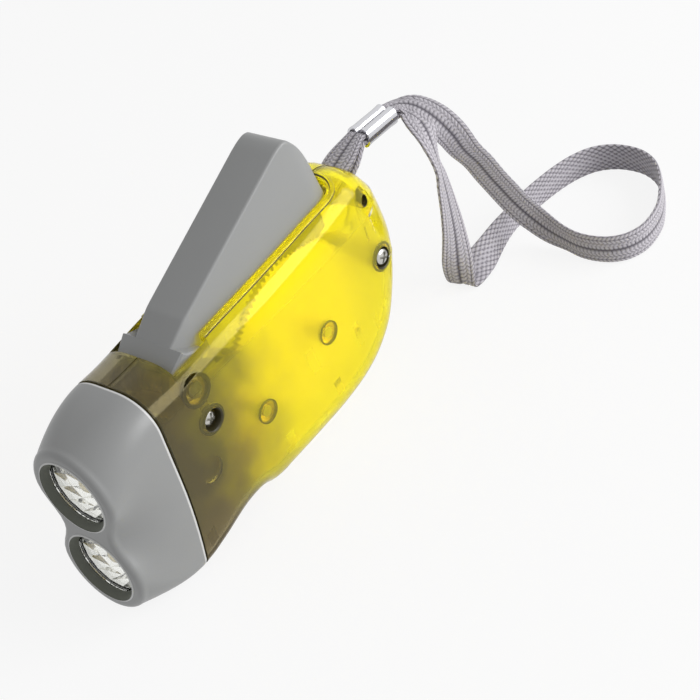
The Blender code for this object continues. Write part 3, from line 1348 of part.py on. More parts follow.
def lock_slider(name):
    """Thumb pad, plate and finger in one moulding."""
    rear = LOCK_X + LOCK_LENGTH
    plate_top = LOCK_PLATE_LOW_Z + LOCK_PLATE_THICKNESS
    finger_top = LOCK_FINGER_LOW_Z + LOCK_FINGER_THICKNESS
    plate_x = LOCK_X + LOCK_PLATE_INSET
    form = block(name, (plate_x, -LOCK_PLATE_HALF_WIDTH, LOCK_PLATE_LOW_Z),
                 (plate_x + LOCK_PLATE_LENGTH, LOCK_PLATE_HALF_WIDTH, plate_top))
    pad = block("pad", (LOCK_X, -LOCK_HALF_WIDTH, LOCK_PAD_LOW_Z),
                (rear, LOCK_HALF_WIDTH, LOCK_PLATE_LOW_Z + 0.3 * LOCK_PLATE_THICKNESS))
    post_x = LOCK_X + LOCK_POST_INSET
    post = block("post", (post_x, -LOCK_FINGER_HALF_WIDTH, LOCK_PLATE_LOW_Z + 0.5 * LOCK_PLATE_THICKNESS),
                 (post_x + LOCK_POST, LOCK_FINGER_HALF_WIDTH, finger_top))
    finger = block("finger", (LOCK_X - LOCK_FINGER_REACH, -0.9 * LOCK_FINGER_HALF_WIDTH, LOCK_FINGER_LOW_Z),
                   (post_x + 0.5 * LOCK_POST, 0.9 * LOCK_FINGER_HALF_WIDTH,
                    finger_top - 0.1 * LOCK_FINGER_THICKNESS))
    return fuse(form, pad, post, finger)


def slide_switch(name):
    """Switch body, with a well that the button's foot slides in."""
    form = block(name, (SWITCH_X - SWITCH_HALF_LENGTH, SWITCH_LOW_Y, SWITCH_Z - SWITCH_HALF_HEIGHT),
                 (SWITCH_X + SWITCH_HALF_LENGTH, SWITCH_HIGH_Y, SWITCH_Z + SWITCH_HALF_HEIGHT))
    half = 0.5 * (SWITCH_KNOB_LENGTH + SWITCH_TRAVEL) + FIT_GAP
    tall = 0.5 * SWITCH_KNOB_HEIGHT + FIT_GAP
    well = block("well", (SWITCH_X - half, SWITCH_HIGH_Y - SWITCH_FOOT_GAP, SWITCH_Z - tall),
                 (SWITCH_X + half, SWITCH_HIGH_Y + CUT_OVERRUN, SWITCH_Z + tall))
    return cut(form, well)


def switch_button(name):
    start = SWITCH_X - 0.5 * (SWITCH_KNOB_LENGTH + SWITCH_TRAVEL)
    form = block(name, (start, SWITCH_HIGH_Y - SWITCH_FOOT_GAP + FIT_GAP, SWITCH_Z - 0.5 * SWITCH_KNOB_HEIGHT),
                 (start + SWITCH_KNOB_LENGTH, SWITCH_KNOB_PROUD_Y, SWITCH_Z + 0.5 * SWITCH_KNOB_HEIGHT))
    return form


# Wrist strap

def ferrule_line():
    """Middle of the sleeve's two ends, its way along, and its way up."""
    start, end = np.array(FERRULE_START), np.array(FERRULE_END)
    ahead = (end - start) / np.linalg.norm(end - start)
    return start, end, ahead, np.array([-ahead[1], ahead[0]])


def strap_ferrule(name):
    """Flattened metal sleeve that holds the strap's two layers together."""
    start, end, _, up = ferrule_line()
    steps = 16

    def ring(point, wide, tall):
        points = []
        for step in range(steps):
            turn = math.tau * step / steps
            across, rise = math.cos(turn), math.sin(turn)
            y = wide * math.copysign(abs(across) ** 0.5, across)
            lift = tall * math.copysign(abs(rise) ** 0.5, rise)
            points.append((point[0] + up[0] * lift, y, point[1] + up[1] * lift))
        return points

    outer = [ring(point, FERRULE_HALF_WIDTH, FERRULE_HALF_HEIGHT) for point in (start, end)]
    wide, tall = FERRULE_HALF_WIDTH - FERRULE_WALL, FERRULE_HALF_HEIGHT - FERRULE_WALL
    inner = [ring(point, wide, tall) for point in (end, start)]
    rings = outer + inner
    verts = [point for section in rings for point in section]
    faces = grid_faces(len(rings), steps, wrap=True)
    last = (len(rings) - 1) * steps
    for step in range(steps):
        after = (step + 1) % steps
        faces.append((last + step, last + after, after, step))
    return mesh_object(name, verts, faces)


def strap_layer(side):
    """Places of one layer of the strap, from behind the pin to the sleeve's far end."""
    pin_at = np.array([STRAP_PIN_X, STRAP_PIN_Z])
    bend = STRAP_PIN_RADIUS + FIT_GAP + 0.5 * STRAP_THICKNESS
    layer = 0.5 * (STRAP_THICKNESS + STRAP_LAYER_GAP)
    start, end, ahead, up = ferrule_line()
    way_out = np.array([math.cos(WINDOW_RISE), math.sin(WINDOW_RISE)])
    way_up = np.array([-way_out[1], way_out[0]])
    spots = []
    for turn in (math.radians(166), math.radians(143), math.radians(116), math.radians(90)):
        spots.append((pin_at + bend * (math.cos(turn) * way_out + side * math.sin(turn) * way_up), 1.0))
    for share in (0.35, 0.7):
        along = WINDOW_REACH * share
        lift = side * (bend + (layer - bend) * share)
        spots.append((pin_at + along * way_out + lift * way_up, 1.0))
    for place in (start - FERRULE_MARGIN * ahead, start, 0.5 * (start + end), end, end + FERRULE_MARGIN * ahead):
        spots.append((place + side * layer * up, STRAP_NECK_SHARE))
    return [((spot[0], 0.0, spot[1]), (0.0, -side, 0.0), width) for spot, width in spots]


def strap_stations():
    """The strap's middle line with its width's way and share, from the pin and back to it."""
    upper, lower = strap_layer(1.0), strap_layer(-1.0)[::-1]
    count = len(STRAP_ROUTE)
    widths = np.interp(np.minimum(np.arange(count), np.arange(count)[::-1]),
                       [-1, STRAP_GATHER_PLACES], [STRAP_NECK_SHARE, 1.0])
    free = [upper[-1]] + [(place, way, width) for (place, way), width in zip(STRAP_ROUTE, widths)] + [lower[0]]
    free = rounded_line([[*place, *way, width] for place, way, width in free], STRAP_STEPS)
    ends = [np.array([[*place, *way, width] for place, way, width in run]) for run in (upper[:-1], lower[1:])]
    return np.vstack([ends[0], free, ends[1]])


def wrist_strap(name):
    """One flat band from the pin, through the sleeve, round the loop, and back to the pin."""
    line = strap_stations()
    place, way, share = line[:, :3], line[:, 3:6], line[:, 6]
    ahead = np.gradient(place, axis=0)
    ahead /= np.linalg.norm(ahead, axis=1)[:, None]
    way = way - ahead * np.sum(way * ahead, axis=1)[:, None]
    way /= np.linalg.norm(way, axis=1)[:, None]
    face = np.cross(ahead, way)
    half, thick = 0.5 * STRAP_WIDTH, 0.5 * STRAP_THICKNESS
    rings = []
    for point, across, out, width in zip(place, way, face, share):
        corners = ((-1.0, 0.0), (-0.85, -1.0), (0.85, -1.0), (1.0, 0.0), (0.85, 1.0), (-0.85, 1.0))
        rings.append([point + across * half * width * a + out * thick * b for a, b in corners])
    length = float(np.sum(np.linalg.norm(np.diff(place, axis=0), axis=1)))
    print("wrist strap: length", round(length * 1000), "mm, lowest point",
          round(min(point[2] for ring in rings for point in ring) * 1000, 2), "mm")
    return loft(name, rings)


def carry_to_origin(base):
    """Move every piece so that the base pieces are centred on x = 0 and the lowest of them rests at z = 0."""
    bpy.context.view_layer.update()
    places = [item.matrix_world @ vert.co for item in base for vert in item.data.vertices]
    along = [place.x for place in places]
    shift = Vector((-0.5 * (min(along) + max(along)), 0.0, -min(place.z for place in places)))
    for item in bpy.data.objects:
        item.location += shift
    print("moved by", [round(value * 1000, 3) for value in shift], "mm")


def main():
    clear_scene()
    clear_yellow = finish("clear_yellow_plastic", (0.85, 0.74, 0.03), 0.08, alpha=0.45)
    grey_plastic = finish("grey_plastic", (0.30, 0.30, 0.30), 0.42)
    dark_plastic = finish("dark_plastic", (0.05, 0.05, 0.05), 0.5)
    white_plastic = finish("white_plastic", (0.75, 0.75, 0.72), 0.45)
    steel = finish("steel", (0.60, 0.60, 0.58), 0.3, metallic=1.0)
    chrome = finish("chrome", (0.85, 0.85, 0.85), 0.08, metallic=1.0)
    lens_plastic = finish("lens_plastic", (0.9, 0.9, 0.9), 0.03, alpha=0.3)
    lamp_resin = finish("lamp_resin", (0.92, 0.92, 0.80), 0.05, alpha=0.7)
    board_green = finish("board_laminate", (0.03, 0.16, 0.07), 0.5)
    magnet_black = finish("magnet_ferrite", (0.03, 0.03, 0.03), 0.55)
    copper = finish("copper_wire", (0.45, 0.16, 0.06), 0.35, metallic=1.0)
    webbing = finish("grey_webbing", (0.42, 0.41, 0.44), 0.85)

    pivot = (PIVOT_X, 0.0, PIVOT_Z)
    gear_x, gear_z = gear_centre()
    rotor_x, rotor_z = rotor_centre()
    gear_at, rotor_at = (gear_x, 0.0, gear_z), (rotor_x, 0.0, rotor_z)
    upper_lens, lower_lens = lens_places()
    raked = (0.0, LENS_RAKE, 0.0)

    base = [dress(body_half("left_housing", -1.0), clear_yellow),
            dress(body_half("right_housing", 1.0), clear_yellow),
            dress(nose_cap("nose_cap"), grey_plastic)]

    for prefix, place in (("upper", upper_lens), ("lower", lower_lens)):
        disc = lathe(f"{prefix}_lens", [(LENS_RADIUS, RECESS_DEPTH), (LENS_RADIUS, RECESS_DEPTH + LENS_THICKNESS)],
                     axis="X")
        dress(seat(disc, place, raked), lens_plastic)
        dress(seat(reflector(f"{prefix}_reflector"), place, raked), chrome)
        dress(seat(led(f"{prefix}_led"), place, raked), lamp_resin)
    dress(lamp_board("lamp_board"), board_green)

    dress(cell_holder("cell_holder"), dark_plastic)
    for index in range(CELL_COUNT):
        dress(button_cell(f"button_cell_{index + 1}", index), steel)
    dress(cell_contact("cell_contact"), steel)

    dress(centre_on(lever("lever"), pivot), grey_plastic)
    dress(pin("lever_pivot_pin", PIVOT_PIN_RADIUS, -AXLE_HALF_LENGTH, AXLE_HALF_LENGTH, (PIVOT_X, PIVOT_Z)), steel)
    dress(return_spring("return_spring"), steel)

    dress(centre_on(drive_pinion("drive_pinion"), gear_at), white_plastic)
    dress(centre_on(ratchet_gear("ratchet_gear"), gear_at), white_plastic)
    for index in range(PAWL_COUNT):
        dress(centre_on(pawl(f"ratchet_pawl_{index + 1}", index), gear_at), steel)
    dress(pin("gear_axle", AXLE_RADIUS, -AXLE_HALF_LENGTH, AXLE_HALF_LENGTH, (gear_x, gear_z)), steel)
    dress(centre_on(rotor("rotor"), rotor_at), white_plastic)
    dress(centre_on(rotor_ring("flywheel", FLYWHEEL_RADIUS, FLYWHEEL_LOW_Y, FLYWHEEL_THICKNESS), rotor_at), steel)
    dress(centre_on(rotor_ring("rotor_magnet", MAGNET_RADIUS, MAGNET_LOW_Y, MAGNET_THICKNESS), rotor_at),
          magnet_black)
    dress(pin("rotor_axle", AXLE_RADIUS, -AXLE_HALF_LENGTH, AXLE_HALF_LENGTH, (rotor_x, rotor_z)), steel)
    dress(stator_core("stator_core"), steel)
    dress(coil_bobbin("coil_bobbin"), white_plastic)
    dress(coil_winding("coil_winding"), copper)

    dress(slide_switch("slide_switch"), dark_plastic)
    dress(centre_on(switch_button("switch_button"), (SWITCH_X, SWITCH_HIGH_Y, SWITCH_Z)), grey_plastic)
    dress(centre_on(lock_slider("lock_slider"), (LOCK_X, 0.0, LOCK_PLATE_LOW_Z)), grey_plastic)
    dress(screw("front_screw", (FRONT_SCREW_X, FRONT_SCREW_Z)), steel)
    dress(screw("rear_screw", (REAR_SCREW_X, REAR_SCREW_Z)), steel)
    dress(pin("strap_pin", STRAP_PIN_RADIUS, STRAP_PIN_NEAR_Y, STRAP_PIN_FAR_Y, (STRAP_PIN_X, STRAP_PIN_Z)), steel)
    dress(strap_ferrule("strap_ferrule"), chrome)
    dress(wrist_strap("wrist_strap"), webbing)
    carry_to_origin(base)


main()
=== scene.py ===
"""Squeeze dynamo torch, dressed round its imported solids: clear yellow body, grey twin-lamp nose and hand
lever, bright ferrule and braided wrist strap, on a pale studio floor.

Metres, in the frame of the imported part: +X runs from the lamps to the strap, -Y is the screw side, +Z is up.
"""

from __future__ import annotations

import logging
import math
import sys
from collections.abc import Callable
from dataclasses import dataclass, field
from enum import Enum, IntEnum

import bmesh
import bpy
import numpy as np
from mathutils import Matrix, Vector

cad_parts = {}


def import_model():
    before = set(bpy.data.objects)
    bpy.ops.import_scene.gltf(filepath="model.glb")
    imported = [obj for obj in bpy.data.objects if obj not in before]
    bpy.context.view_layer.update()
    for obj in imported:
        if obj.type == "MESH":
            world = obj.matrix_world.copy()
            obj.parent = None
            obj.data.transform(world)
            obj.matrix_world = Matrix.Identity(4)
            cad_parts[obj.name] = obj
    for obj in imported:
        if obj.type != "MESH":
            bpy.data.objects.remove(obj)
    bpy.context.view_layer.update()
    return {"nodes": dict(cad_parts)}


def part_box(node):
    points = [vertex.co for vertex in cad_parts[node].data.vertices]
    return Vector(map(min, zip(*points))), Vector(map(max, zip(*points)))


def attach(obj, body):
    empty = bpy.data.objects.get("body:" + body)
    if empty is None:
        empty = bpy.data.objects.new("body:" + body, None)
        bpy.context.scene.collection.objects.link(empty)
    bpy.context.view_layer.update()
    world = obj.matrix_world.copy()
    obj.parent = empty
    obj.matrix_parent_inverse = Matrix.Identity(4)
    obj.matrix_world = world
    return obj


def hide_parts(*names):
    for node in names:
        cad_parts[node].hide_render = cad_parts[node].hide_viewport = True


LOG = logging.getLogger("torch")
LEAST_KEPT = 0.3  # a boolean that leaves fewer faces than this share of the target's has failed
WAVE_UNIT = 0.1 * math.pi  # a wave texture's scale at which its bands are a metre apart
WELD_REACH = 1e-7  # points of a mesh closer than this are one
Piece, Tree, Socket = bpy.types.Object, bpy.types.NodeTree, bpy.types.NodeSocket
Point = tuple[float, float]
Spread = float | np.ndarray  # one measure, or a row of them


# Colours and shader nodes

def linear(code: str) -> tuple[float, float, float, float]:
    """Turns an sRGB hex colour into the linear one that shaders take.

    Args:
        code: The colour as "#RRGGBB".

    Returns:
        Linear red, green, blue, and 1.
    """
    shares = [int(code[at:at + 2], 16) / 255 for at in (1, 3, 5)]
    return (*(s / 12.92 if s <= 0.04045 else ((s + 0.055) / 1.055) ** 2.4 for s in shares), 1.0)


def node(tree: Tree, kind: str, inputs: dict | None = None, **settings) -> bpy.types.Node:
    """Adds one node to a tree.

    Args:
        tree: The tree that gets it.
        kind: Blender's name for the kind of node.
        inputs: A value, or an output to link from, for each input's name or number.
        settings: The node's own properties.

    Returns:
        The node.
    """
    made = tree.nodes.new(kind)
    for name, value in settings.items():
        setattr(made, name, value)
    for key, value in (inputs or {}).items():
        if isinstance(value, Socket):
            tree.links.new(value, made.inputs[key])
        else:
            made.inputs[key].default_value = value
    return made


# Finishes

@dataclass(frozen=True)
class Finish:
    """What a piece is made of and how its surface was made."""

    name: str
    colour: str
    roughness: float
    metallic: float = 0.0
    ior: float = 1.5
    grain: float = 0.0004
    relief: float = 0.00001
    mottle: float = 0.04
    sheen: float = 0.0
    # colour painted where the surface is seen edge on: shade on clear plastic, a dark reflection on metal
    edge: str = ""
    edge_power: float = 4.0
    tint: str = "#FFFFFF"
    patch: float = 24.0
    uneven: float = 0.15

    def constants(self) -> dict:
        """The Principled sockets that are the same all over the surface.

        Returns:
            The values, by socket name.
        """
        fixed = {"Metallic": self.metallic, "Sheen Weight": self.sheen}
        if not self.metallic:
            fixed.update({"IOR": self.ior, "Specular Tint": linear(self.tint)})
        return fixed

    def shade_edge_on(self, tree: Tree, colour: Socket) -> Socket:
        """Paints shade where the surface is seen edge on, taking the colour to the edge's colour: painted shade on
        clear plastic, a painted dark reflection on metal.

        Args:
            tree: The material's tree.
            colour: The surface's colour.

        Returns:
            The colour to use.
        """
        if not self.edge:
            return colour
        facing = node(tree, "ShaderNodeLayerWeight").outputs["Facing"]
        steep = node(tree, "ShaderNodeMath", {0: facing, 1: self.edge_power}, operation="POWER")
        return node(tree, "ShaderNodeMix", {"Factor": steep.outputs["Value"], 6: colour, 7: linear(self.edge)},
                    data_type="RGBA").outputs[2]

    def paint(self, tree: Tree) -> dict:
        """Lays the pattern that every finish has: a fine grain in the relief and a faint mottle.

        Args:
            tree: The material's tree.

        Returns:
            Outputs and values for the Principled node, by socket name.
        """
        place = node(tree, "ShaderNodeTexCoord").outputs["Object"]
        grain = node(tree, "ShaderNodeTexNoise", {"Vector": place, "Scale": 1 / self.grain, "Detail": 3.0})
        broad = node(tree, "ShaderNodeTexNoise", {"Vector": place, "Scale": 1 / (self.patch * self.grain),
                                                  "Detail": 2.0})
        base = np.array(linear(self.colour))
        light, dark = base * (1 + self.mottle), base * (1 - self.mottle)
        light[3] = dark[3] = 1.0
        colour = node(tree, "ShaderNodeMix", {"Factor": broad.outputs["Fac"], 6: tuple(dark), 7: tuple(light)},
                      data_type="RGBA")
        rough = node(tree, "ShaderNodeMapRange", {"Value": grain.outputs["Fac"],
                                                  "To Min": (1 - self.uneven) * self.roughness,
                                                  "To Max": (1 + self.uneven) * self.roughness})
        bump = node(tree, "ShaderNodeBump", {"Height": grain.outputs["Fac"], "Distance": self.relief})
        return {"Base Color": self.shade_edge_on(tree, colour.outputs[2]), "Roughness": rough.outputs["Result"],
                "Normal": bump.outputs["Normal"]}

    def surface(self, tree: Tree) -> Socket:
        """The shader that reaches the material's output."""
        shader = node(tree, "ShaderNodeBsdfPrincipled", {**self.constants(), **self.paint(tree)})
        return shader.outputs["BSDF"]

    def material(self) -> bpy.types.Material:
        """Makes the finish as a material, once.

        Returns:
            The material.
        """
        made = bpy.data.materials.get(self.name)
        if made is None:
            made = bpy.data.materials.new(self.name)
            made.use_nodes = True
            made.node_tree.nodes.clear()
            node(made.node_tree, "ShaderNodeOutputMaterial", {"Surface": self.surface(made.node_tree)})
        return made


@dataclass(frozen=True)
class ClearFinish(Finish):
    """Clear moulded plastic. Lamps reach through it, so its shadow takes its colour."""

    clarity: float = 0.85
    shade: str = "#FFF060"
    level: float = 0.5
    # painted shade towards the lamps, for the shadow there and the dark works seen through: its two colours, then
    # where along X it fades
    painted_shade: tuple = ()
    painted_shade_start: float = -0.012
    painted_shade_end: float = 0.022
    cloud: float = 0.013
    drift: float = 2.4
    cloud_patch: float = 0.6
    polished_above: float = 0.0
    polish_ease: float = 0.002
    polish: float = 0.12

    def constants(self) -> dict:
        """Adds the share of light that goes through."""
        return {**super().constants(), "Transmission Weight": self.clarity, "Specular IOR Level": self.level}

    def paint(self, tree: Tree) -> dict:
        """Adds painted shade towards the lamps, standing in for the shadow there and the dark works seen through the
        wall, and the polish high up.

        Args:
            tree: The material's tree.

        Returns:
            Outputs and values for the Principled node, by socket name.
        """
        found = super().paint(tree)
        place = node(tree, "ShaderNodeTexCoord").outputs["Object"]
        # painted shade: the colour darkens towards the lamps, in place of the shadow there and the dark works behind
        # the wall
        if self.painted_shade:
            along = node(tree, "ShaderNodeSeparateXYZ", {"Vector": place}).outputs["X"]
            cloud = node(tree, "ShaderNodeTexNoise", {"Vector": place, "Scale": 1 / self.cloud, "Detail": 3.0})
            drift = node(tree, "ShaderNodeMath", {0: cloud.outputs["Fac"], 1: self.drift * self.cloud, 2: along},
                         operation="MULTIPLY_ADD")
            share = node(tree, "ShaderNodeMapRange",
                         {"Value": drift.outputs["Value"], "From Min": self.painted_shade_start, "From Max": self.painted_shade_end,
                          "To Min": 1.0, "To Max": 0.0}, interpolation_type="SMOOTHSTEP")
            patch = node(tree, "ShaderNodeTexNoise", {"Vector": place, "Scale": self.cloud_patch / self.cloud,
                                                      "Detail": 2.0, "Roughness": 0.4})
            shade_colour = node(tree, "ShaderNodeMix", {"Factor": patch.outputs["Fac"], 6: linear(self.painted_shade[0]),
                                                 7: linear(self.painted_shade[1])}, data_type="RGBA")
            shaded = node(tree, "ShaderNodeMix", {"Factor": share.outputs["Result"], 6: found["Base Color"],
                                                  7: shade_colour.outputs[2]}, data_type="RGBA")
            found["Base Color"] = shaded.outputs[2]
        if self.polished_above:
            height = node(tree, "ShaderNodeSeparateXYZ", {"Vector": place}).outputs["Z"]
            rough = node(tree, "ShaderNodeMapRange",
                         {"Value": height, "From Min": self.polished_above - self.polish_ease,
                          "From Max": self.polished_above, "To Min": self.roughness,
                          "To Max": self.polish * self.roughness})
            found["Roughness"] = rough.outputs["Result"]
        return found

    def surface(self, tree: Tree) -> Socket:
        """Lets shadow rays through, tinted, in place of blocking them.

        Args:
            tree: The material's tree.

        Returns:
            The shader that reaches the material's output.
        """
        body = super().surface(tree)
        path = node(tree, "ShaderNodeLightPath")
        gone = node(tree, "ShaderNodeBsdfTransparent", {"Color": linear(self.shade)})
        mixed = node(tree, "ShaderNodeMixShader", {0: path.outputs["Is Shadow Ray"], 1: body,
                                                   2: gone.outputs["BSDF"]})
        return mixed.outputs["Shader"]


@dataclass(frozen=True)
class BraidFinish(Finish):
    """Braided polyester: matt, a little sheen, with painted shade darkening the valleys where the yarns dive under
    each other.
    """

    # colour of the painted shade in the valleys, and where along the relief it starts
    deep: str = "#59555E"
    fuzz: float = 0.35
    shade_start: float = 0.22

    def paint(self, tree: Tree) -> dict:
        """Paints shade into the braid's valleys from its own relief, and adds fibres along the yarns.

        Args:
            tree: The material's tree.

        Returns:
            Outputs and values for the Principled node, by socket name.
        """
        depth = node(tree, "ShaderNodeAttribute", attribute_name="braid_height").outputs["Fac"]
        place = node(tree, "ShaderNodeTexCoord").outputs["Object"]
        fibre = node(tree, "ShaderNodeTexNoise", {"Vector": place, "Scale": 1 / self.grain, "Detail": 4.0})
        uneven = node(tree, "ShaderNodeMath", {0: fibre.outputs["Fac"], 1: self.fuzz, 2: depth},
                      operation="MULTIPLY_ADD")
        share = node(tree, "ShaderNodeMapRange", {"Value": uneven.outputs["Value"], "From Min": self.shade_start})
        # painted shade: the valleys darker, towards the deep colour
        colour = node(tree, "ShaderNodeMix", {"Factor": share.outputs["Result"], 6: linear(self.deep),
                                              7: linear(self.colour)}, data_type="RGBA")
        bump = node(tree, "ShaderNodeBump", {"Height": fibre.outputs["Fac"], "Distance": self.relief})
        return {"Base Color": colour.outputs[2], "Roughness": self.roughness, "Normal": bump.outputs["Normal"]}


@dataclass(frozen=True)
class WoundFinish(Finish):
    """Wire laid turn beside turn along X, so the surface is ribbed."""

    pitch: float = 0.00045
    rib: float = 0.3

    def paint(self, tree: Tree) -> dict:
        """Ribs the relief at the wire's pitch, drawn coarser than the real 0.1 mm so that it shows.

        Args:
            tree: The material's tree.

        Returns:
            Outputs and values for the Principled node, by socket name.
        """
        found = super().paint(tree)
        place = node(tree, "ShaderNodeTexCoord").outputs["Object"]
        ribs = node(tree, "ShaderNodeTexWave", {"Vector": place, "Scale": WAVE_UNIT / self.pitch},
                    bands_direction="X")
        bump = node(tree, "ShaderNodeBump", {"Height": ribs.outputs["Fac"], "Distance": self.rib * self.pitch})
        return {**found, "Normal": bump.outputs["Normal"]}


class Finishes(Enum):
    """Every finish on the torch."""

    # clear polystyrene, injection moulded in a polished mould: glassy, deep yellow, olive where seen edge on (a deeper
    # tint with painted shade along the outline), and painted shade towards the lamps
    CLEAR_OUTSIDE = ClearFinish("clear_polystyrene_polished", "#FFF61C", 0.11, ior=1.42, grain=0.0011,
                                relief=0.000002, mottle=0.02, clarity=0.86, level=0.03, edge="#9C8620",
                                tint="#FFF2C4", painted_shade=("#A39272", "#6F7560"))
    # the same moulding's inner face, its mould left from the mill but polished near the back: hazes the works, with
    # the same painted shade towards the lamps
    CLEAR_INSIDE = ClearFinish("clear_polystyrene_milled", "#FFF61C", 0.38, ior=1.55, grain=0.0005,
                               relief=0.000001, mottle=0.02, clarity=0.79, level=0.1, tint="#FFF0A0",
                               painted_shade=("#A39272", "#6F7560"), polished_above=0.0405)
    # the same, darkened, on mating faces, bores, reliefs and the bead's foot: the seams' own dark line, and painted
    # shade in the gaps and holes
    CLEAR_SEAM_AND_SHADE = ClearFinish("clear_polystyrene_seam_and_shade", "#3A3620", 0.40, ior=1.55, grain=0.0005,
                             mottle=0.05, clarity=0.10, level=0.3)
    # ABS, injection moulded with a fine spark-eroded texture: satin, soft broad highlights
    GREY_ABS = Finish("abs_spark_textured", "#949595", 0.36, ior=1.53, grain=0.00035, relief=0.000012,
                      mottle=0.025)
    # the same ABS darkened as painted shade inside the arm and down the lamp recesses, and rougher: hardly any shine
    SHADED_ABS = Finish("abs_painted_shade", "#61645A", 0.62, ior=1.53, grain=0.00035, relief=0.00002,
                        mottle=0.04)
    # the same, pale as a painted highlight: a thin light line along the nose's rear edge and round each mouth
    HIGHLIGHT_ABS = Finish("abs_painted_highlight", "#D0D1D0", 0.40, ior=1.53, grain=0.00035, mottle=0.02)
    # ABS coloured black, injection moulded, for the cell holder and the switch; on the flange behind each lens and on
    # the lever's toothed rib the black is painted shade: a dark ring round the lens and a dark wedge seen through the
    # body
    BLACK_ABS_AND_SHADE = Finish("abs_black_and_shade", "#26272A", 0.5, ior=1.53)
    # acrylic, injection moulded and clear: sharp reflections, no tint
    CLEAR_ACRYLIC = ClearFinish("acrylic_moulded_clear", "#FDFEFE", 0.02, ior=1.49, relief=0.000001,
                                mottle=0.0, clarity=1.0, shade="#FAFCFC")
    # aluminium vapour on moulded facets: a bright mirror broken into panes, with a painted dark reflection where seen
    # edge on
    METALLISED = Finish("aluminium_vacuum_metallised", "#F2F1EC", 0.06, metallic=1.0, relief=0.000002,
                        mottle=0.01, edge="#1E1E1C")
    # epoxy, cast clear over the chip: glassy with a warm phosphor tone
    CAST_EPOXY = ClearFinish("epoxy_cast_lamp", "#F0DFA4", 0.08, ior=1.54, relief=0.000001, mottle=0.02,
                             clarity=0.10, shade="#FFF6D2")
    # glass-fibre laminate under green solder mask: half gloss
    LAMINATE = Finish("epoxy_laminate_green_mask", "#1E5A34", 0.35, ior=1.55)
    # acetal, injection moulded in its natural white: waxy, gently shining
    ACETAL = Finish("acetal_natural_moulded", "#D2CFC0", 0.38, ior=1.48, relief=0.000006)
    # steel, turned and nickel plated: bright with fine turning marks
    NICKEL_STEEL = Finish("steel_turned_nickel_plated", "#C4C3BE", 0.24, metallic=1.0, grain=0.0002,
                          relief=0.000003)
    # brass sleeve, pressed and chrome plated: near mirror, with a painted dark reflection where seen edge on
    CHROME_BRASS = Finish("brass_pressed_chrome_plated", "#D2D2D6", 0.12, metallic=1.0, relief=0.000002,
                          mottle=0.01, edge="#2E2E32")
    # ferrite, pressed and sintered: dull black with a fine pit
    FERRITE = Finish("ferrite_sintered", "#2A2A2C", 0.6, ior=1.6, relief=0.00002)
    # copper wire, enamelled and wound: warm lacquered ribs
    COPPER_WINDING = WoundFinish("copper_wire_enamelled_wound", "#B4623A", 0.3, metallic=1.0)
    # polyester yarn, braided flat: soft grey lilac, with painted shade in the braid's valleys
    BRAID = BraidFinish("polyester_braided_flat", "#C9C5CC", 0.82, ior=1.5, grain=0.00012, relief=0.00002,
                        sheen=0.35)


def dress(item: Piece, *finishes: Finishes) -> Piece:
    """Gives an object its finishes, one material slot for each.

    Args:
        item: The piece.
        finishes: Its finishes, in the order of its slots.

    Returns:
        The piece.
    """
    item.data.materials.clear()
    for finish in finishes:
        item.data.materials.append(finish.value.material())
    return item


# Shapes

def smooth_line(points: list, count: int, fine: int = 24) -> np.ndarray:
    """Lays even points on a smooth curve.

    Args:
        points: What the curve goes through.
        count: How many points come back.
        fine: Steps between two given points before the line is evened out.

    Returns:
        The points, one row each.
    """
    line = rounded_line(points, fine)
    along = np.concatenate([[0.0], np.cumsum(np.linalg.norm(np.diff(line, axis=0), axis=1))])
    wanted = np.linspace(0.0, along[-1], count)
    return np.stack([np.interp(wanted, along, line[:, axis]) for axis in range(line.shape[1])], 1)


def rounded_line(points: list, steps: int) -> np.ndarray:
    """Lays so many steps between every two given points of a smooth curve.

    Args:
        points: What the curve goes through, each with any number of columns.
        steps: Steps from one to the next.

    Returns:
        The points, one row each.
    """
    points = np.array(points, float)
    held = np.vstack([2 * points[0] - points[1], points, 2 * points[-1] - points[-2]])
    line = []
    for index in range(1, len(held) - 2):
        before, first, second, after = held[index - 1:index + 3]
        for step in range(steps):
            t = step / steps
            line.append(0.5 * (2 * first + (second - before) * t
                               + (2 * before - 5 * first + 4 * second - after) * t * t
                               + (3 * first - before - 3 * second + after) * t ** 3))
    line.append(points[-1])
    return np.array(line)


def mesh_piece(name: str, verts: list | np.ndarray, faces: list, smooth: bool = True,
               sharp: float = 32.0) -> Piece:
    """Makes an object of points and faces, welded, with its faces outwards.

    Args:
        name: The object's name.
        verts: Its points.
        faces: Its faces, as point numbers.
        smooth: Shade it smooth up to the sharp angle.
        sharp: Edges over this many degrees stay sharp.

    Returns:
        The object, linked to the scene.
    """
    mesh = bpy.data.meshes.new(name)
    mesh.from_pydata([tuple(float(v) for v in vert) for vert in verts], [], faces)
    form = bmesh.new()
    form.from_mesh(mesh)
    bmesh.ops.remove_doubles(form, verts=form.verts, dist=WELD_REACH)
    bmesh.ops.recalc_face_normals(form, faces=form.faces)
    form.to_mesh(mesh)
    form.free()
    shade(mesh, smooth, sharp)
    item = bpy.data.objects.new(name, mesh)
    bpy.context.scene.collection.objects.link(item)
    return item


def shade(mesh: bpy.types.Mesh, smooth: bool = True, sharp: float = 32.0) -> None:
    """Shades a mesh smooth or flat.

    Args:
        mesh: The mesh.
        smooth: False leaves every face flat.
        sharp: Edges over this many degrees stay sharp.
    """
    if smooth:
        mesh.shade_smooth()
        mesh.set_sharp_from_angle(angle=math.radians(sharp))
    else:
        mesh.shade_flat()


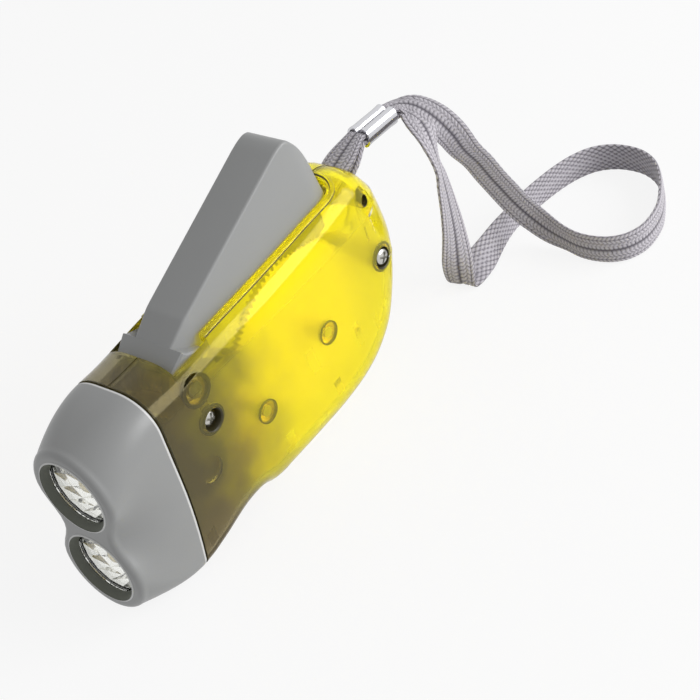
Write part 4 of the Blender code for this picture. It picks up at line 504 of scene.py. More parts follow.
def grid_faces(rows: int, columns: int, wrap: bool = False) -> list:
    """Quads between rows of points that are numbered row by row.

    Args:
        rows: How many rows.
        columns: How many points in each.
        wrap: Join each row's last point to its first.

    Returns:
        The faces, as point numbers.
    """
    faces = []
    for row in range(rows - 1):
        for column in range(columns if wrap else columns - 1):
            after, low = (column + 1) % columns, row * columns
            faces.append((low + column, low + after, low + columns + after, low + columns + column))
    return faces


def loft(name: str, rings: list, closed: bool = False, smooth: bool = True) -> Piece:
    """Joins rings of points into a solid.

    Args:
        name: The object's name.
        rings: The rings, each with the same number of points.
        closed: Join the last ring to the first, in place of two flat ends.
        smooth: Shade it smooth.

    Returns:
        The object.
    """
    rows, columns = len(rings), len(rings[0])
    verts = [point for ring in rings for point in ring]
    faces = grid_faces(rows, columns, wrap=True)
    last = (rows - 1) * columns
    if closed:
        faces += [(last + c, last + (c + 1) % columns, (c + 1) % columns, c) for c in range(columns)]
    else:
        faces += [tuple(range(columns)), tuple(range(last + columns - 1, last - 1, -1))]
    return mesh_piece(name, verts, faces, smooth)


def turn_points(radius: float, along: float, steps: int, centre: Point = (0.0, 0.0)) -> list:
    """A ring of points round the Y axis at a place (x, z)."""
    return [(centre[0] + radius * math.cos(math.tau * s / steps), along,
             centre[1] + radius * math.sin(math.tau * s / steps)) for s in range(steps)]


def lathe(name: str, profile: list[Point], centre: Point = (0.0, 0.0), steps: int = 48,
          closed: bool = False) -> Piece:
    """Turns a profile of (radius, along) round a line parallel to Y at (x, z)."""
    return loft(name, [turn_points(radius, along, steps, centre) for radius, along in profile], closed)


def prism(name: str, outline: list[Point], low: float, high: float) -> Piece:
    """Carries an outline in X and Z along Y from low to high."""
    return loft(name, [[(x, y, z) for x, z in outline] for y in (low, high)])


def block(name: str, low: tuple, high: tuple) -> Piece:
    """A plain cutter or core between two corners."""
    return prism(name, [(low[0], low[2]), (high[0], low[2]), (high[0], high[2]), (low[0], high[2])],
                 low[1], high[1])


class Joining(Enum):
    """Ways to combine two solids."""

    ADD = "UNION"
    CUT = "DIFFERENCE"


def combine(target: Piece, others: list, how: Joining) -> Piece:
    """Adds solids to a target, or cuts it with them, one after the other.

    Args:
        target: The solid that is kept.
        others: The solids that are used up.
        how: Add or cut.

    Returns:
        The target.
    """
    for other in others:
        while len(other.data.materials) < len(target.data.materials):
            other.data.materials.append(target.data.materials[len(other.data.materials)])
        before = len(target.data.polygons)
        for solver in ("MANIFOLD", "EXACT"):
            change = target.modifiers.new(other.name, "BOOLEAN")
            change.operation, change.solver, change.object = how.value, solver, other
            graph = bpy.context.evaluated_depsgraph_get()
            mesh = bpy.data.meshes.new_from_object(target.evaluated_get(graph))
            target.modifiers.remove(change)
            if len(mesh.polygons) > LEAST_KEPT * before:
                target.data = mesh
                break
        bpy.data.objects.remove(other, do_unlink=True)
    return target


class BodySlot(IntEnum):
    """Order of the finishes on a clear half."""

    OUTSIDE = 0
    INSIDE = 1
    # the dark seams, and painted shade in bores, reliefs, gaps and along the bead's foot
    SEAM = 2


class GreySlot(IntEnum):
    """Order of the finishes on the nose and on the lever, where the last is the painted highlight on the nose and the
    black painted shade on the lever.
    """

    TEXTURED = 0
    # painted shade: the faces in hollows and recesses
    ROUGH = 1
    LAST = 2


def paint_all(item: Piece, index: int) -> Piece:
    """Puts every face of an object in one material slot.

    Args:
        item: The object.
        index: The slot.

    Returns:
        The object.
    """
    for face in item.data.polygons:
        face.material_index = index
    return item


def move(item: Piece, matrix: Matrix) -> Piece:
    """Moves an object's mesh and leaves the object at the origin."""
    item.data.transform(matrix)
    return item


# The torch's own places

@dataclass(frozen=True)
class Layout:
    """Sizes and places that several pieces share, written from the middle of the back."""

    joint_x: float = -0.0299
    length: float = 0.0812
    height: float = 0.0510
    width: float = 0.0250
    wall: float = 0.0016
    fit: float = 0.0003
    pivot: Point = (-0.0182, 0.0400)
    sector_module: float = 0.0008
    sector_teeth: int = 113
    pinion_teeth: int = 10
    rotor_module: float = 0.0005
    gear_teeth: int = 76
    rotor_teeth: int = 17
    train_angle: float = math.radians(-22.9)
    rotor_angle: float = math.radians(187.6)
    front_screw: Point = (-0.0174, 0.0313)
    rear_screw: Point = (0.0425, 0.0274)
    strap_pin: Point = (0.0420, 0.0437)
    pin_radius: float = 0.0015
    axle_radius: float = 0.0010
    strap_pin_radius: float = 0.0009
    window_rise: float = math.radians(21)
    window_start: float = 0.0020
    window_reach: float = 0.0120
    cells: Point = (-0.0217, 0.0205)
    lever_half_width: float = 0.0070
    foot_front_x: float = -0.0200
    foot_length: float = 0.0084
    foot_half_width: float = 0.0088
    foot_low_z: float = 0.0436
    slot_gap: float = 0.0005
    tail_x: float = 0.0373
    tail_turn: float = 0.0055
    swing: float = math.radians(16.5)

    def carry(self) -> Matrix:
        """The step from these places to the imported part's frame, read from the lever's pin."""
        low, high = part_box("lever_pivot_pin")
        return Matrix.Translation((0.5 * (low.x + high.x) - self.pivot[0], 0.0, 0.0))

    def gear_centre(self) -> Point:
        """Axis of the large gear.

        Returns:
            The place, (x, z).
        """
        reach = 0.5 * self.sector_module * (self.sector_teeth - self.pinion_teeth)
        return (self.pivot[0] + reach * math.cos(self.train_angle),
                self.pivot[1] + reach * math.sin(self.train_angle))

    def rotor_centre(self) -> Point:
        """Axis of the rotor.

        Returns:
            The place, (x, z).
        """
        x, z = self.gear_centre()
        reach = 0.5 * self.rotor_module * (self.gear_teeth + self.rotor_teeth)
        return (x + reach * math.cos(self.rotor_angle), z + reach * math.sin(self.rotor_angle))

    def turned(self, points: list[Point], angle: float) -> list[Point]:
        """Turns places about the lever's pivot.

        Args:
            points: Places (x, z).
            angle: A positive one takes +X towards -Z.

        Returns:
            The places, turned.
        """
        c, s = math.cos(angle), math.sin(angle)
        out = []
        for x, z in points:
            dx, dz = x - self.pivot[0], z - self.pivot[1]
            out.append((self.pivot[0] + c * dx + s * dz, self.pivot[1] - s * dx + c * dz))
        return out


@dataclass(frozen=True)
class Torch:
    """What every sub-assembly gets: the shared places and the step to the frame."""

    layout: Layout
    carry: Matrix

    def add(self, item: Piece, body: str, slot: str, *replaced: str) -> Piece:
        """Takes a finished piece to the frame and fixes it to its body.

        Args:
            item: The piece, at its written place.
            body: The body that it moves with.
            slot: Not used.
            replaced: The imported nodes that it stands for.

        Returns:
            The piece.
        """
        move(item, self.carry)
        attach(item, body)
        if replaced:
            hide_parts(*replaced)
        LOG.info("%s rides %s, %d faces", item.name, body, len(item.data.polygons))
        return item


# Body

@dataclass
class ClearBody:
    """The two clear body halves with their posts, rim, slots and bores."""

    torch: Torch
    edge_round: float = 0.0082
    belly_edge_round: float = 0.0038
    belly_edge_share: float = 0.35
    edge_flat_share: float = 0.20
    edge_power: float = 2.2
    side_taper: float = 0.03
    split_gap: float = 0.0003
    joint_gap: float = 0.0003
    overrun: float = 0.0030
    edge_steps: int = 14
    flat_steps: int = 5
    length_steps: int = 72
    tail_steps: int = 24
    round_steps: int = 40
    sharp: float = 28.0
    joint_bow: float = 0.0026
    bow_height: float = 0.0260
    tail_clear: float = 0.0005
    rim_half_width: float = 0.0007
    rim_ease: float = 0.00015
    rim_proud: float = 0.00035
    rim_depth: float = 0.0019
    rim_steps: int = 9
    # faces of the bead's section painted dark as the lever's shadow
    rim_shade_lines: tuple = (1, 6, 7)
    slot_depth: float = 0.0060
    pocket_step: float = 0.0030
    window_half: Point = (0.0045, 0.0028)
    lock_slot: tuple = ((0.0178, 0.0286), 0.0034, 0.0039)
    switch_slot: tuple = ((-0.0251, 0.0082, 0.0079), (-0.0169, 0.0148, 0.0113))
    lip_thick: float = 0.0012
    lip_reach: float = 0.0012
    lip_root: float = 0.0010
    # place, then radius and end of the near and of the far post; an end of 0 is the plane between the halves
    posts: tuple = (("pivot", 0.0030, -0.0075, 0.0030, 0.0075), ("gear", 0.0025, -0.0046, 0.0025, 0.0023),
                    ("rotor", 0.0025, -0.0049, 0.0025, 0.0071), ("front_screw", 0.0030, 0.0, 0.0026, 0.0),
                    ("rear_screw", 0.0030, 0.0, 0.0026, 0.0), ("strap_pin", 0.0020, -0.0047, 0.0020, 0.0047),
                    ("cells", 0.0030, -0.00885, 0.0030, 0.0091))
    # place, inner radius and width of the relief round a post's root
    reliefs: tuple = (("pivot", 0.0030, 0.0008), ("gear", 0.0025, 0.0003), ("rotor", 0.0025, 0.0003),
                      ("front_screw", 0.0030, 0.0005), ("rear_screw", 0.0030, 0.0005))
    relief_span: Point = (1.3, 0.55)
    post_root: float = 0.6
    post_ring: float = 0.25
    blind_bore: float = 0.0106
    strap_bore: float = 0.0012
    strap_bore_end: float = 0.0101
    head_bore: float = 0.0024
    head_seat: float = -0.0085
    shank_bore: float = 0.0014
    shank_pass: float = 0.0030
    thread_end: float = 0.0053
    top: tuple = ((0.0, 0.925), (0.09, 0.924), (0.26, 0.943), (0.48, 0.958), (0.71, 0.985), (0.84, 0.997),
                  (0.900, 0.976), (0.942, 0.918), (0.975, 0.835))
    tail: tuple = ((0.975, 0.835), (0.987, 0.745), (0.998, 0.610), (0.993, 0.480))
    belly: tuple = ((0.0, 0.004), (0.08, 0.022), (0.17, 0.050), (0.235, 0.046), (0.275, 0.018),
                    (0.32, 0.002), (0.36, 0.0), (0.47, 0.0), (0.58, 0.0), (0.70, 0.020), (0.80, 0.068),
                    (0.89, 0.170), (0.950, 0.315), (0.993, 0.480))
    widths: tuple = ((0.0, 0.958), (0.2, 0.985), (0.45, 1.0), (0.7, 0.975), (0.85, 0.92), (1.0, 0.83))
    finishes: tuple = (Finishes.CLEAR_OUTSIDE, Finishes.CLEAR_INSIDE, Finishes.CLEAR_SEAM_AND_SHADE)
    lines: dict = field(default_factory=dict)

    def at(self, share: Point) -> Point:
        """A place on the side outline, from its shares."""
        form = self.torch.layout
        return (form.joint_x + share[0] * form.length, share[1] * form.height)

    def half_width(self, x: Spread, z: Spread) -> Spread:
        """Half of the body's width at a place on its side.

        Args:
            x: Where along the torch.
            z: How high.

        Returns:
            The half width there.
        """
        form = self.torch.layout
        shares, widths = zip(*self.widths)
        taper = 1.0 - self.side_taper * (1.0 - z / form.height)
        return 0.5 * form.width * np.interp((x - form.joint_x) / form.length, shares, widths) * taper

    def back_line(self) -> np.ndarray:
        """The back's middle line, made once.

        Returns:
            Places (x, z).
        """
        if "back" not in self.lines:
            self.lines["back"] = smooth_line([self.at(s) for s in self.top], self.length_steps + 1)
        return self.lines["back"]

    def back_height(self, x: float) -> float:
        """Height of the back's middle line."""
        top = self.back_line()
        return float(np.interp(x, top[:, 0], top[:, 1]))

    def joint_at(self, z: Spread) -> Spread:
        """The joint with the nose bows forward towards the belly."""
        low = np.maximum(0.0, 1.0 - np.asarray(z) / self.bow_height)
        return self.torch.layout.joint_x - self.joint_bow * low ** 2

    def skin_height(self, x: float, y: float) -> float:
        """Height of the rounded back at a place off its middle.

        Args:
            x: Where along the torch.
            y: How far off the middle.

        Returns:
            The height.
        """
        share = abs(y) / float(self.half_width(x, self.torch.layout.height))
        across = max(0.0, (share - self.edge_flat_share) / (1.0 - self.edge_flat_share))
        turn = math.asin(min(1.0, across ** (0.5 * self.edge_power)))
        return self.back_height(x) - self.edge_round * (1.0 - math.cos(turn) ** (2 / self.edge_power))

    def slot_path(self, grow: float, straight: int = 36, turn: int = 22) -> list[Point]:
        """Half of the lever's plan, grown.

        Args:
            grow: How far outside the lever.
            straight: Steps along its side.
            turn: Steps round its tail.

        Returns:
            Places (x, y) from the foot's rear to the middle of the tail.
        """
        form = self.torch.layout
        start, bend = form.foot_front_x + form.foot_length, form.tail_x - form.tail_turn
        half, reach = form.lever_half_width + grow, form.tail_turn + self.tail_clear + grow
        path = [(float(x), half) for x in np.linspace(start, bend, straight, endpoint=False)]
        for angle in np.linspace(0.0, 0.5 * math.pi, turn):
            path.append((bend + reach * math.sin(angle) ** (2 / 3), half * abs(math.cos(angle)) ** (2 / 3)))
        return path

    def outline(self) -> np.ndarray:
        """The side outline, from the joint over the back, round the tail and under the belly.

        Returns:
            Places (x, z).
        """
        tail = smooth_line([self.at(s) for s in self.tail], self.tail_steps + 1)
        belly = smooth_line([self.at(s) for s in self.belly], self.length_steps + 1)[::-1]
        belly[:, 1] = np.maximum(belly[:, 1], 0.0)
        return np.vstack([self.back_line(), tail[1:-1], belly])

    def skin(self, inset: float, side: float, plane: float, front: float) -> np.ndarray:
        """Rows of points over one half's skin.

        Args:
            inset: How far inside the outer skin.
            side: -1 for the near half, 1 for the far one.
            plane: Where the half begins, off the middle.
            front: How far behind the joint it begins.

        Returns:
            Points by row and column. The first rows climb the rounded edge, the last close the flat side.
        """
        form = self.torch.layout
        line = self.outline()
        ahead = np.roll(line, -1, axis=0) - np.roll(line, 1, axis=0)
        ahead[0], ahead[-1] = (1.0, 0.0), (-1.0, 0.0)
        ahead = ahead / np.linalg.norm(ahead, axis=1)[:, None]
        inward = np.stack([ahead[:, 1], -ahead[:, 0]], 1)
        shares = (line[:, 0] - form.joint_x) / form.length
        belly = np.interp(shares, [0.0, self.belly_edge_share], [self.belly_edge_round, self.edge_round])
        rounding = np.where(line[:, 1] < 0.5 * form.height, belly, self.edge_round) - inset
        line = line + inward * inset
        profile = [(0.0, 0.0)]
        for turn in np.linspace(0.0, 0.5 * math.pi, self.edge_steps):
            across = self.edge_flat_share + (1.0 - self.edge_flat_share) * math.sin(turn) ** (2 / self.edge_power)
            profile.append((across, 1.0 - abs(math.cos(turn)) ** (2 / self.edge_power)))
        rows = []
        for across, deep in profile:
            spot = line + inward * (rounding * deep)[:, None]
            spot[[0, -1], 0] = self.joint_at(spot[[0, -1], 1]) + front
            wide = self.half_width(spot[:, 0], spot[:, 1]) - inset
            rows.append(np.column_stack([spot[:, 0], side * (plane + (wide - plane) * across), spot[:, 1]]))
        edge = rows[-1][:, [0, 2]]
        spine = 0.5 * (edge + edge[::-1])
        spine[self.length_steps:len(spine) - self.length_steps] = spine[self.length_steps]
        for step in range(1, self.flat_steps + 1):
            share = step / self.flat_steps
            spot = edge * (1.0 - share) + spine * share
            spot[[0, -1], 0] = self.joint_at(spot[[0, -1], 1]) + front
            wide = self.half_width(spot[:, 0], spot[:, 1]) - inset
            rows.append(np.column_stack([spot[:, 0], side * wide, spot[:, 1]]))
        return np.array(rows)

    def shell(self, name: str, side: float) -> Piece:
        """One half's wall, between its outer and its inner skin.

        Args:
            name: The piece's name.
            side: -1 for the near side, 1 for the far one.

        Returns:
            The wall, with a finish on each skin.
        """
        form = self.torch.layout
        plane, front = 0.5 * self.split_gap, 0.5 * self.joint_gap
        outer, inner = self.skin(0.0, side, plane, front), self.skin(form.wall, side, plane, front)
        rows, columns = outer.shape[:2]
        verts = np.vstack([outer[::-1].reshape(-1, 3), inner.reshape(-1, 3)])
        faces = grid_faces(2 * rows, columns)
        for column in (0, columns - 1):
            for row in range(rows - 1):
                near = [(rows - 2 - row) * columns + column, (rows - 1 - row) * columns + column]
                deep = [(rows + row) * columns + column, (rows + row + 1) * columns + column]
                faces.append((near[0], near[1], deep[0], deep[1]))
        item = dress(mesh_piece(name, verts, faces), *self.finishes)
        inside = {tuple(np.round(v, 7)) for v in inner.reshape(-1, 3)}
        places = [v.co for v in item.data.vertices]
        points = [tuple(np.round(place, 7)) for place in places]
        for face in item.data.polygons:
            corners = [places[v] for v in face.vertices]
            seam = (all(abs(abs(c.y) - plane) < 1e-6 for c in corners)
                    or all(abs(c.x - float(self.joint_at(c.z)) - front) < 1e-6 for c in corners))
            # the split and joint faces take the dark seam finish
            if seam:
                face.material_index = BodySlot.SEAM
            elif all(points[v] in inside for v in face.vertices):
                face.material_index = BodySlot.INSIDE
        return item

    def section(self, inset: float) -> np.ndarray:
        """Half of the body's section at the joint, (y, z) from the middle of the back to the belly."""
        skin = self.skin(inset, 1.0, 0.0, 0.0)
        return np.vstack([skin[:, 0, 1:], skin[::-1, -1, 1:][1:]])

    def band(self, name: str, side: float, outer_inset: float, low: float, high: float) -> Piece:
        """The band inside the body's mouth that the nose slides over, or its root.

        Args:
            name: The band's name.
            side: -1 for the near side, 1 for the far one.
            outer_inset: How far inside the skin it starts.
            low: Its front end, from the joint.
            high: Its rear end.

        Returns:
            Half of the band.
        """
        form = self.torch.layout
        outer, deep = self.section(outer_inset), self.section(form.wall + form.fit + self.lip_thick)
        ring = np.vstack([outer, deep[::-1]])
        ring[:, 0] = np.maximum(ring[:, 0], 0.5 * self.split_gap)
        return loft(name, [[(float(self.joint_at(z)) + x, side * y, z) for y, z in ring] for x in (low, high)])

    def boss(self, side: float, centre: Point, radius: float, end: float) -> Piece:
        """A round post from inside a half's side, with a painted shade ring at its root.

        Args:
            side: -1 for the near side, 1 for the far one.
            centre: Where it stands, (x, z).
            radius: The post's radius.
            end: Where it ends, along Y.

        Returns:
            The post.
        """
        wall = self.torch.layout.wall
        out = float(self.half_width(centre[0], centre[1]))
        root, ring = side * (out - self.post_root * wall), side * (out - wall - self.post_ring * radius)
        profile = [(radius, root), (radius, ring), (radius, end)]
        item = dress(lathe("boss", profile, centre, self.round_steps), *self.finishes)
        for face in item.data.polygons:
            # painted shade: the post's root dark, as a ring
            dark = side * face.center.y > side * ring and len(face.vertices) == 4
            face.material_index = BodySlot.SEAM if dark else BodySlot.INSIDE
        return item

    def moat(self, side: float, centre: Point, radius: float, wide: float) -> Piece:
        """The relief round a post's root, cut into the wall from inside, later painted as shade: a dark ring through
        the body.

        Args:
            side: -1 for the near side, 1 for the far one.
            centre: Where the post stands.
            radius: The post's radius.
            wide: The relief's width.

        Returns:
            The cutter.
        """
        wall = self.torch.layout.wall
        face = float(self.half_width(centre[0], centre[1]))
        deep, out = (side * (face - share * wall) for share in self.relief_span)
        loop = [(radius, deep), (radius + wide, deep), (radius + wide, out), (radius, out)]
        return lathe("moat", loop, centre, self.round_steps, closed=True)

    def rim(self, side: float) -> Piece:
        """The raised bead round half of the slot, with painted shade lines along its foot and its inner shoulder,
        where the lever's shadow falls.

        Args:
            side: -1 for the near side, 1 for the far one.

        Returns:
            Half of the bead.
        """
        half, gap = self.rim_half_width, self.torch.layout.slot_gap
        path = np.array(self.slot_path(gap + self.rim_ease + half))
        path[-1, 1] = 0.5 * self.split_gap
        ahead = np.gradient(path, axis=0)
        ahead /= np.linalg.norm(ahead, axis=1)[:, None]
        ahead[-1] = (0.0, -1.0)
        rings = []
        for (x, y), (ax, ay) in zip(path, ahead):
            top = self.skin_height(x, y) + self.rim_proud
            arc = [(half * math.cos(a), top - half + half * math.sin(a))
                   for a in np.linspace(0.0, math.pi, self.rim_steps)]
            section = [(half, top - self.rim_depth), *arc, (-half, top - self.rim_depth)]
            rings.append([(x - ay * out, side * (y + ax * out), z) for out, z in section])
        item = dress(loft("rim", rings), *self.finishes)
        columns = len(rings[0])
        # painted shade along the bead's foot and inner shoulder
        for face in item.data.polygons[:(len(rings) - 1) * columns]:
            if face.index % columns in self.rim_shade_lines:
                face.material_index = BodySlot.SEAM
        return item

    def slot_cutters(self) -> list:
        """The long slot, the pocket for the lever's foot, the strap's window and the lock's slot.

        Returns:
            The cutters.
        """
        form = self.torch.layout
        above, low = form.height + self.overrun, form.height - self.slot_depth - self.overrun
        half, front = form.lever_half_width + form.slot_gap, form.foot_front_x - form.slot_gap
        floor = form.pivot[1] + self.pocket_step + 0.5 * form.fit
        shut = form.turned([(form.foot_front_x + form.foot_length, form.foot_low_z)], form.swing)[0]
        rear = shut[0] + 2 * form.slot_gap
        plan = self.slot_path(form.slot_gap)
        plan = [(front, half)] + plan + [(x, -y) for x, y in reversed(plan[:-1])] + [(front, -half)]
        pocket = [(front, floor), (form.pivot[0] + self.pocket_step, floor), (rear, shut[1] - 2 * form.slot_gap),
                  (rear, above), (front, above)]
        foot = form.foot_half_width + form.slot_gap
        rise = form.window_rise
        ahead, up = np.array([math.cos(rise), math.sin(rise)]), np.array([-math.sin(rise), math.cos(rise)])
        wide, tall = self.window_half
        window = [tuple(np.array(form.strap_pin) + ahead * a + up * h)
                  for a, h in ((form.window_start, -tall), (form.window_reach, -tall),
                               (form.window_reach, tall), (form.window_start, tall))]
        (lock_start, lock_end), lock_half, lock_top = self.lock_slot
        return [loft("slot", [[(x, y, z) for x, y in plan] for z in (low, above)]),
                prism("pocket", pocket, -foot, foot), prism("window", window, -wide, wide),
                block("lock_slot", (lock_start, -lock_half, -self.overrun), (lock_end, lock_half, lock_top))]

    def countersink(self, side: float, centre: Point, radius: float, ease: float = 0.00025) -> Piece:
        """Breaks the edge of a bore where it comes through the side.

        Args:
            side: -1 for the near side, 1 for the far one.
            centre: Where the bore is, (x, z).
            radius: The bore's radius.
            ease: How far the edge is broken.

        Returns:
            The cutter.
        """
        face = float(self.half_width(centre[0], centre[1]))
        return lathe("ease", [(radius + 4 * ease, side * (face + 3 * ease)), (radius, side * (face - ease))],
                     centre, self.round_steps)

    def centres(self) -> dict:
        """Where the posts stand.

        Returns:
            Places (x, z), by name.
        """
        form = self.torch.layout
        return {"pivot": form.pivot, "gear": form.gear_centre(), "rotor": form.rotor_centre(),
                "front_screw": form.front_screw, "rear_screw": form.rear_screw,
                "strap_pin": form.strap_pin, "cells": form.cells}

    def side_cutters(self, side: float) -> list:
        """The openings in one half's side: reliefs and screw, pin and switch openings.

        Args:
            side: -1 for the near side, 1 for the far one.

        Returns:
            The cutters.
        """
        form, centres = self.torch.layout, self.centres()
        outside = side * (0.5 * form.width + self.overrun)
        cutters = [self.moat(side, centres[place], radius, wide) for place, radius, wide in self.reliefs]
        if side > 0:
            cutters += [self.bore(form.strap_pin, self.strap_bore, 0.0, self.strap_bore_end),
                        block("switch_slot", *self.switch_slot)]
            return cutters + [self.bore(centre, self.shank_bore, 0.0, self.thread_end)
                              for centre in (form.front_screw, form.rear_screw)]
        cutters += [self.bore(form.strap_pin, self.strap_bore, outside, 0.0),
                    self.countersink(side, form.strap_pin, self.strap_bore)]
        for centre in (form.front_screw, form.rear_screw):
            cutters += [self.bore(centre, self.head_bore, outside, self.head_seat),
                        self.bore(centre, self.shank_bore, outside, self.shank_pass),
                        self.countersink(side, centre, self.head_bore)]
        return cutters

    def half(self, name: str, side: float) -> Piece:
        """One half with its posts, rim, slots and bores.

        Args:
            name: The piece's name.
            side: -1 for the near half, 1 for the far one.

        Returns:
            The piece, at its written place.
        """
        form, centres = self.torch.layout, self.centres()
        item = self.shell(name, side)
        added = [self.rim(side)]
        for place, *sizes in self.posts:
            radius, end = sizes[:2] if side < 0 else sizes[2:]
            added.append(self.boss(side, centres[place], radius, end or side * 0.5 * self.split_gap))
        # painted shade: the lips at the joint in the dark finish, a dark line in the gap to the nose
        lips = [self.band("lip_root", side, 0.5 * form.wall, 0.5 * self.joint_gap, self.lip_root),
                self.band("lip", side, form.wall + form.fit, -self.lip_reach, self.lip_root)]
        added += [paint_all(dress(lip, *self.finishes), BodySlot.SEAM) for lip in lips]
        combine(item, added, Joining.ADD)
        bores = [self.bore(centres[place], radius + form.fit, 0.0, side * self.blind_bore)
                 for place, radius in (("pivot", form.pin_radius), ("gear", form.axle_radius),
                                       ("rotor", form.axle_radius))]
        inner = [paint_all(cutter, BodySlot.INSIDE) for cutter in self.slot_cutters() + bores]
        combine(item, inner, Joining.CUT)
        # painted shade in the screw, pin and switch openings and round the posts
        dark = [paint_all(cutter, BodySlot.SEAM) for cutter in self.side_cutters(side)]
        combine(item, dark, Joining.CUT)
        shade(item.data, sharp=self.sharp)
        return item

    def bore(self, centre: Point, radius: float, start: float, end: float) -> Piece:
        """A round hole along Y."""
        low, high = sorted((start, end))
        return lathe("bore", [(radius, low), (radius, high)], centre, self.round_steps)

    def build(self) -> None:
        """Makes both halves."""
        for name, side in (("left_housing", -1.0), ("right_housing", 1.0)):
            item = self.half("clear_" + name, side)
            self.torch.add(item, "torch_body", "clear_yellow_plastic", name)


# Nose

@dataclass
class Nose:
    """The grey nose with its two round snouts."""

    torch: Torch
    body: ClearBody
    reach: float = 0.0184
    mid_z: float = 0.0228
    pitch: float = 0.0197
    rake: float = math.radians(3.5)
    snout: float = 0.0112
    waist: float = 0.0075
    front_round: float = 0.0015
    mouth: float = 0.0084
    seat: float = 0.0074
    recess: float = 0.0020
    lens: float = 0.0080
    lens_thickness: float = 0.0012
    stations: int = 26
    front_steps: int = 8
    round_steps: int = 96
    sharp: float = 40.0
    edge_ease: float = 0.00035
    edge_share: float = 0.3
    # rings at the rear edge painted pale as a highlight line
    highlight_strips: int = 3
    cavity_steps: int = 5
    cavity_share: float = 0.62
    pocket_depth: float = 0.0158
    lip_ease: float = 0.00030
    # the mouth's edge and the bead round it: (out from the mouth, in from the front), in eases
    lip: tuple = ((0.5, -0.4), (0.0, 0.4))
    bead: tuple = ((1.6, -0.1), (1.1, -0.6), (0.5, -0.6), (-0.2, 0.1))
    bead_root: float = 0.0010
    finishes: tuple = (Finishes.GREY_ABS, Finishes.SHADED_ABS, Finishes.HIGHLIGHT_ABS)

    def snout_section(self, inset: float) -> np.ndarray:
        """Half of the front section: two round snouts with a waist between them.

        Args:
            inset: How far inside the skin.

        Returns:
            Places (y, z), from the top down.
        """
        half_pitch, radius, waist = 0.5 * self.pitch, self.snout - inset, self.waist - inset
        points = []
        for turn in np.linspace(0.0, 0.5 * math.pi, self.body.edge_steps + 1):
            points.append((radius * math.sin(turn), half_pitch + radius * math.cos(turn)))
        for step in range(1, self.body.flat_steps + 1):
            share = step / self.body.flat_steps
            pull = 0.5 - 0.5 * math.cos(math.pi * share)
            points.append((radius + (waist - radius) * pull, half_pitch * (1.0 - share)))
        points += [(y, -z) for y, z in reversed(points[:-1])]
        return np.array([(y, self.mid_z + z) for y, z in points])

    def front_x(self, z: float) -> float:
        """The front plane leans with the lenses."""
        return self.torch.layout.joint_x - self.reach + (z - self.mid_z) * math.tan(self.rake)

    def places(self) -> list:
        """Centre of each recess's mouth, the upper one first."""
        return [(self.front_x(z), z) for z in (self.mid_z + 0.5 * self.pitch, self.mid_z - 0.5 * self.pitch)]

    def facing(self, place: Point) -> Matrix:
        """Takes a shape turned round Y, from its mouth towards +Y, to a recess."""
        return (Matrix.Translation((place[0], 0.0, place[1])) @ Matrix.Rotation(self.rake, 4, "Y")
                @ Matrix.Rotation(-math.pi / 2, 4, "Z"))

    def ring(self, half: np.ndarray, x_of: Callable[[float], float]) -> list:
        """A whole ring of points from half a section."""
        ring = [(x_of(z), y, z) for y, z in half]
        return ring + [(x, -y, z) for x, y, z in reversed(ring[1:-1])]

    def station(self, share: float, inset: float) -> list:
        """The section at a place between the joint and the front.

        Args:
            share: From 0 at the joint to 1 at the front.
            inset: How far inside the skin.

        Returns:
            A ring of points.
        """
        blend = share ** 2
        half = (1.0 - blend) * self.body.section(inset) + blend * self.snout_section(inset)

        def along(z: float) -> float:
            """Where the section's points stand along the torch."""
            start = float(self.body.joint_at(z)) - 0.5 * self.body.joint_gap
            return (1.0 - share) * start + share * (self.front_x(z) + self.front_round)

        return self.ring(half, along)

    def cavity(self) -> Piece:
        """What is left open behind the recesses, from the joint forwards.

        Returns:
            The cutter.
        """
        wall = self.torch.layout.wall
        rings = [self.station(step / self.cavity_steps * self.cavity_share, wall)
                 for step in range(self.cavity_steps + 1)]
        return loft("cavity", [[(x + self.body.overrun, y, z) for x, y, z in rings[0]], *rings])

    def lip_bead(self) -> Piece:
        """The thin raised ring round a mouth, at the mouth's own place; the cap paints it pale as a highlight ring.

        Returns:
            The ring.
        """
        ease = self.lip_ease
        bead = [(self.mouth + out * ease, deep * ease) for out, deep in self.bead]
        bead = [(bead[0][0], self.bead_root), *bead, (bead[-1][0], self.bead_root)]
        return lathe("bead", bead, steps=self.round_steps, closed=True)

    def recess_cutters(self, place: Point) -> list:
        """The mouth down to the lens's seat, and the pocket behind it.

        Args:
            place: The middle of the recess's mouth, (x, z).

        Returns:
            The cutters.
        """
        fit, ease = self.torch.layout.fit, self.lip_ease
        slope = (self.mouth - self.seat) / self.recess
        mouth = [(self.mouth + out * ease, deep * ease) for out, deep in self.lip]
        mouth = [(mouth[0][0], -self.body.overrun), *mouth, (self.mouth - slope * ease, ease),
                 (self.seat, self.recess), (self.seat, self.recess + self.lens_thickness)]
        pocket = [(self.lens + fit, self.recess - fit), (self.lens + fit, self.pocket_depth)]
        return [move(lathe("cutter", profile, steps=self.round_steps), self.facing(place))
                for profile in (mouth, pocket)]

    def build(self) -> None:
        """Makes the cap, its cavity and its two recesses."""
        ease, share = self.edge_ease, self.edge_share
        rings = [self.station(0.0, ease), self.station(share * ease / self.reach, share * ease)]
        rings += [self.station(max(step, ease / self.reach * self.stations) / self.stations, 0.0)
                  for step in range(self.stations + 1)]
        for turn in np.linspace(0.0, 0.5 * math.pi, self.front_steps)[1:]:
            half = self.snout_section(self.front_round * (1.0 - math.cos(turn)))
            reach = self.front_round * (1.0 - math.sin(turn))
            rings.append(self.ring(half, lambda z, r=reach: self.front_x(z) + r))
        cap = dress(loft("satin_nose_cap", rings), *self.finishes)
